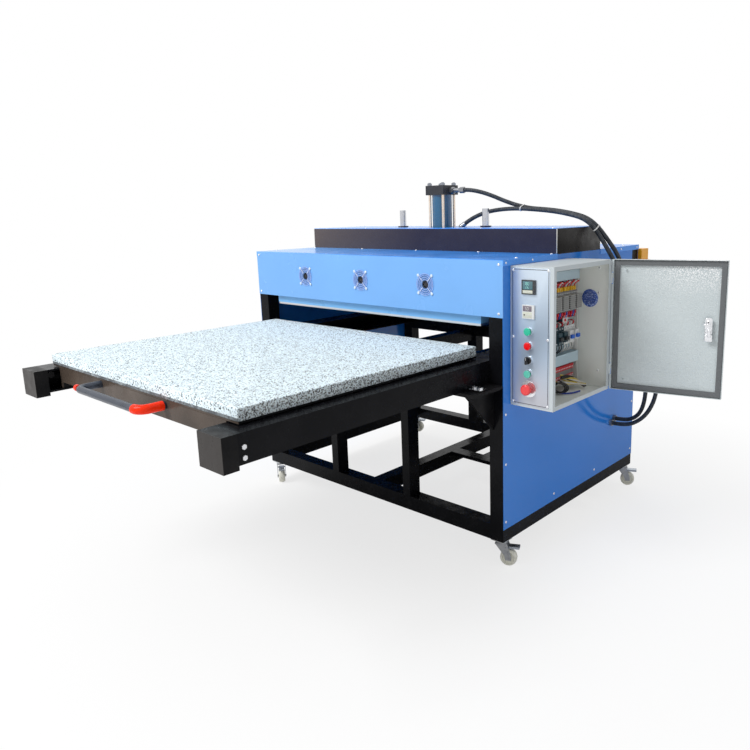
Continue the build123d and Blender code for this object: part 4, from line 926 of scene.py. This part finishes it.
strip = plate((0.8790, 0.8884), (CAB_BACK + 0.0002, CAB_BACK + 0.0172), (0.6400, 1.1240), shell_grey, 0.001,
              0.0006, 2)
assemble("hinge_strip", [strip], "machine")

# The door is a folded sheet tray in a pebbled pale grey coat, with three lips at the hinges' edge. High up
# the coat is painted darker with white grains: a painted sparkle of the lamp on the pebbles. A grey foam
# gasket runs round its inside, and a bright plated cam lock with a bent catch sits near its free edge.
SWING, HINGE_X, HINGE_Y = math.radians(102), 0.89315, 0.455
DOOR_IN, LOCK_Y = 0.8932 + 0.0145, 0.103
door_grey = powder("door_grey", (0.50, 0.56, 0.58), (0.60, 0.66, 0.67), 260, 0.0017, 0.24, 0.6)
# Painted highlight: high on the door, white grains on a darker patch stand for the lamp's sparkle.
glare = door_grey.ramp(door_grey.across("Z"), 0.99, 1.10) * door_grey.ramp(door_grey.across("X"), 0.66, 0.86)
grains = door_grey.ramp(door_grey.cloud(300, 2, 0.6), 0.52, 0.56)
dress(door_grey.over(glare * 0.5, (0.44, 0.50, 0.52)).over(glare * grains, (1.0, 1.0, 1.0)), "door")
gasket = mottled("gasket_foam", 260, (0.10, 0.108, 0.114), (0.18, 0.188, 0.195), (0.6, 0.8),
                 Specular_IOR_Level=0.3)
dress(gasket.bump(gasket.tone, 0.0006), "door_gasket")
lock_bright = mottled("lock_bright", 120, (0.66, 0.67, 0.70), (0.92, 0.93, 0.95), (0.12, 0.36), 4, 0.7,
                      Metallic=1.0)
dress(lock_bright.bump(lock_bright.tone, 0.0009), "door_lock")


def on_door(x, y, z):
    """Places of the closed door, carried round the hinge to where the open door holds them."""
    across, back = x - HINGE_X, y - HINGE_Y
    return MIDDLE + np.stack([HINGE_X + across * math.cos(SWING) - back * math.sin(SWING),
                              HINGE_Y + across * math.sin(SWING) + back * math.cos(SWING), z], -1)


def door_slab(xs, ys, zs, finish, corner=0.004, rim=0.0008):
    """Slab square to the door, worked out on the closed door and carried round with it."""
    points, faces, finish = plate(xs, ys, zs, finish, corner, rim, 0, 4)
    return on_door(*(points - MIDDLE).T), faces, finish


lips = [door_slab((0.8940, 0.8952), (0.4492, 0.4551), zs, door_grey, 0.0008, 0.0003)
        for zs in ((0.6325, 0.6895), (0.7345, 1.0395), (1.0845, 1.1315))]
assemble("door_lips", lips, "cabinet_door")
inward = on_door(0, 0, 0) - on_door(1, 0, 0)
latch = [door_slab((DOOR_IN - deep, DOOR_IN - shallow), ys, zs, lock_bright, *rounding)
         for deep, shallow, ys, zs, *rounding in (
             (0.0155, 0.0125, (0.0900, 0.1160), (0.866, 0.928), 0.008),
             (0.0200, 0.0150, (0.0880, 0.1150), (0.842, 0.868), 0.004, 0.002),
             (0.0230, 0.0150, (0.0935, 0.1060), (0.860, 0.886), 0.003, 0.0015),
             (0.0200, 0.0150, (0.0960, 0.1200), (0.900, 0.906), 0.002, 0.001))]
boss = [(0.0115, 0.0), (0.0115, 0.004), (0.0100, 0.0055), (0.0, 0.0055)]
pin = [(0.0080, 0.0), (0.0080, 0.003), (0.0060, 0.0045), (0.0, 0.0045)]
# The boss and the pin get dark discs of painted shade for their recesses.
latch += [turn_about(on_door(DOOR_IN - deep, LOCK_Y, z), inward, profile, *kind)
          for deep, z, profile, *kind in (
              (0.0155, 0.882, boss, lock_bright), (0.0155, 0.912, pin, lock_bright),
              (0.0205, 0.882, [(0.004, 0.0), (0.0035, 0.0012)], recess_shade, 6),
              (0.0196, 0.912, [(0.003, 0.0), (0.0028, 0.0006)], recess_shade, 6))]
assemble("lock_catch", latch, "lock")

# A small orange box stands on a bracket behind the back right post. It is a painted block, and its use
# is a guess.
dress(mottled("orange_paint", 30, (0.86, 0.38, 0.012), (0.95, 0.46, 0.025), (0.3, 0.42),
              Specular_IOR_Level=0.5), "junction_box")

# The power unit in the base: a sheet tank in the frame's black, and a cast motor in dark grey enamel
# with its valve block.
dress(enamel("tank_black", (0.008, 0.008, 0.009), (0.035, 0.034, 0.033), 0.3), "hydraulic_tank")
dress(powder("motor_grey", (0.10, 0.105, 0.11), (0.16, 0.165, 0.17), 140, 0.0005), "pump_motor")

# Casters: pressed steel forks, cream nylon wheels with a dark bush in the hub, and brake pedals of
# bright steel.
CORNERS = ("front_left", "front_right", "back_left", "back_right")
WHEEL_R, TREAD_HALF, BORE_R, TRAIL, CASTER_IN = 0.0325, 0.0150, 0.0052, 0.028, 0.030
fork_steel = mottled("fork_steel", 60, (0.30, 0.31, 0.33), (0.62, 0.63, 0.65), (0.25, 0.42), 4, 0.6,
                     Metallic=0.85)
dress(fork_steel, *["caster_fork_" + corner for corner in CORNERS])
nylon = mottled("nylon", 50, (0.78, 0.77, 0.66), (0.92, 0.91, 0.82), (0.32, 0.5), Specular_IOR_Level=0.5)
hub_dark = plain("hub_dark", (0.10, 0.10, 0.10), 0.45)
pedal_steel = mottled("pedal_steel", 60, (0.30, 0.33, 0.37), (0.62, 0.66, 0.72), (0.22, 0.38), 4, 0.6,
                      Metallic=0.9)
dress(pedal_steel, *["caster_pedal_" + corner for corner in CORNERS])
hub = [(BORE_R, -0.0135), (0.0120, -0.0135), (0.0130, -0.0105), (0.0210, -0.0105), (0.0232, -0.0148)]
tread = [(WHEEL_R - 0.0035 * abs(c) ** 3.2, TREAD_HALF * c) for c in np.linspace(-1, 1, 9)]
rim_profile = hub + tread + [(radius, -height) for radius, height in hub[::-1]]
for corner, turn in zip(CORNERS, (-35, 25.5, 20, 25.5)):
    side, y = 1 if "right" in corner else -1, CASTER_IN if "front" in corner else DEPTH - CASTER_IN
    ahead = np.array([math.cos(math.radians(turn)), math.sin(math.radians(turn)), 0.0])
    axle = np.array([-ahead[1], ahead[0], 0.0])
    middle = at(side * (HALF - CASTER_IN), y, WHEEL_R) + TRAIL * ahead
    wheel = [turn_about(middle, axle, rim_profile, nylon, 48)]
    wheel += [turn_about(middle, end * axle, [(BORE_R, 0.0136), (0.0085, 0.0142), (0.0085, 0.0132)],
                         hub_dark, 24) for end in (-1, 1)]
    assemble("wheel_tread_" + corner, wheel, "wheel_" + corner, ["caster_wheel_" + corner])

# Studio: a white floor that runs on behind the object, and one broad lamp high at the front left. The
# floor keeps the object's soft shadow near it, and far off it turns into the white of the backdrop.
FLOOR_HALF, FADE_START, FADE_END, WHITE_NEAR = 30, 1.0, 2.4, 0.74
floor_paint = Finish("floor", Roughness=0.9, Specular_IOR_Level=0.2)
floor_paint.tint(floor_paint.cloud(3), (0.93, 0.93, 0.93), (0.94, 0.94, 0.94))
seen = floor_paint.node("ShaderNodeLightPath", output="Is Camera Ray")
far = floor_paint.node("ShaderNodeVectorMath", {"operation": "LENGTH"}, {0: floor_paint.place()}, "Value")
share = seen * floor_paint.ramp(far, FADE_START, FADE_END, WHITE_NEAR, 1.0)
white = floor_paint.node("ShaderNodeEmission", {}, {"Color": (1, 1, 1, 1), "Strength": 1.0})
painted = Line(floor_paint, floor_paint.shader.outputs[0])
blend = floor_paint.node("ShaderNodeMixShader", {}, {0: share, 1: painted, 2: white})
floor_paint.join(blend, floor_paint.tree.nodes["Material Output"].inputs["Surface"])
mesh = bpy.data.meshes.new("floor")
mesh.from_pydata([(x * FLOOR_HALF, y * FLOOR_HALF, 0) for x, y in ((-1, -1), (1, -1), (1, 1), (-1, 1))], [],
                 [(0, 1, 2, 3)])
mesh.materials.append(floor_paint.material)
floor = bpy.data.objects.new("floor", mesh)
bpy.context.scene.collection.objects.link(floor)

# The white room lights the object at a little over half strength. The camera, mirrored light and light
# that passes through see it at full strength.
ROOM_LIGHT = 0.55
bpy.context.scene.view_settings.view_transform = "Standard"
world = bpy.data.worlds.new("studio")
world.use_nodes = True
room = Wiring(world.node_tree)
clear = 0.0
for kind in ("Is Camera Ray", "Is Glossy Ray", "Is Transmission Ray"):
    clear = room.node("ShaderNodeMath", {"operation": "MAXIMUM"},
                      {0: clear, 1: room.node("ShaderNodeLightPath", output=kind)})
backdrop = room.tree.nodes["Background"]
backdrop.inputs["Color"].default_value = (1, 1, 1, 1)
room.join(room.ramp(clear, 0.0, 1.0, ROOM_LIGHT, 1.0), backdrop.inputs["Strength"])
bpy.context.scene.world = world


def lamp(name, place, towards, size, power):
    """A square soft lamp at a place, facing a point."""
    light = bpy.data.lights.new(name, "AREA")
    light.size, light.energy = size, power
    forward = np.array(towards) - np.array(place)
    forward /= np.linalg.norm(forward)
    side = np.cross(forward, UP)
    side /= np.linalg.norm(side)
    stand(name, light, place, side, np.cross(side, forward), forward)


lamp("key_lamp", place=(-2.1, -5.5, 6.9), towards=(0, 0, 0.8), size=3.8, power=550)
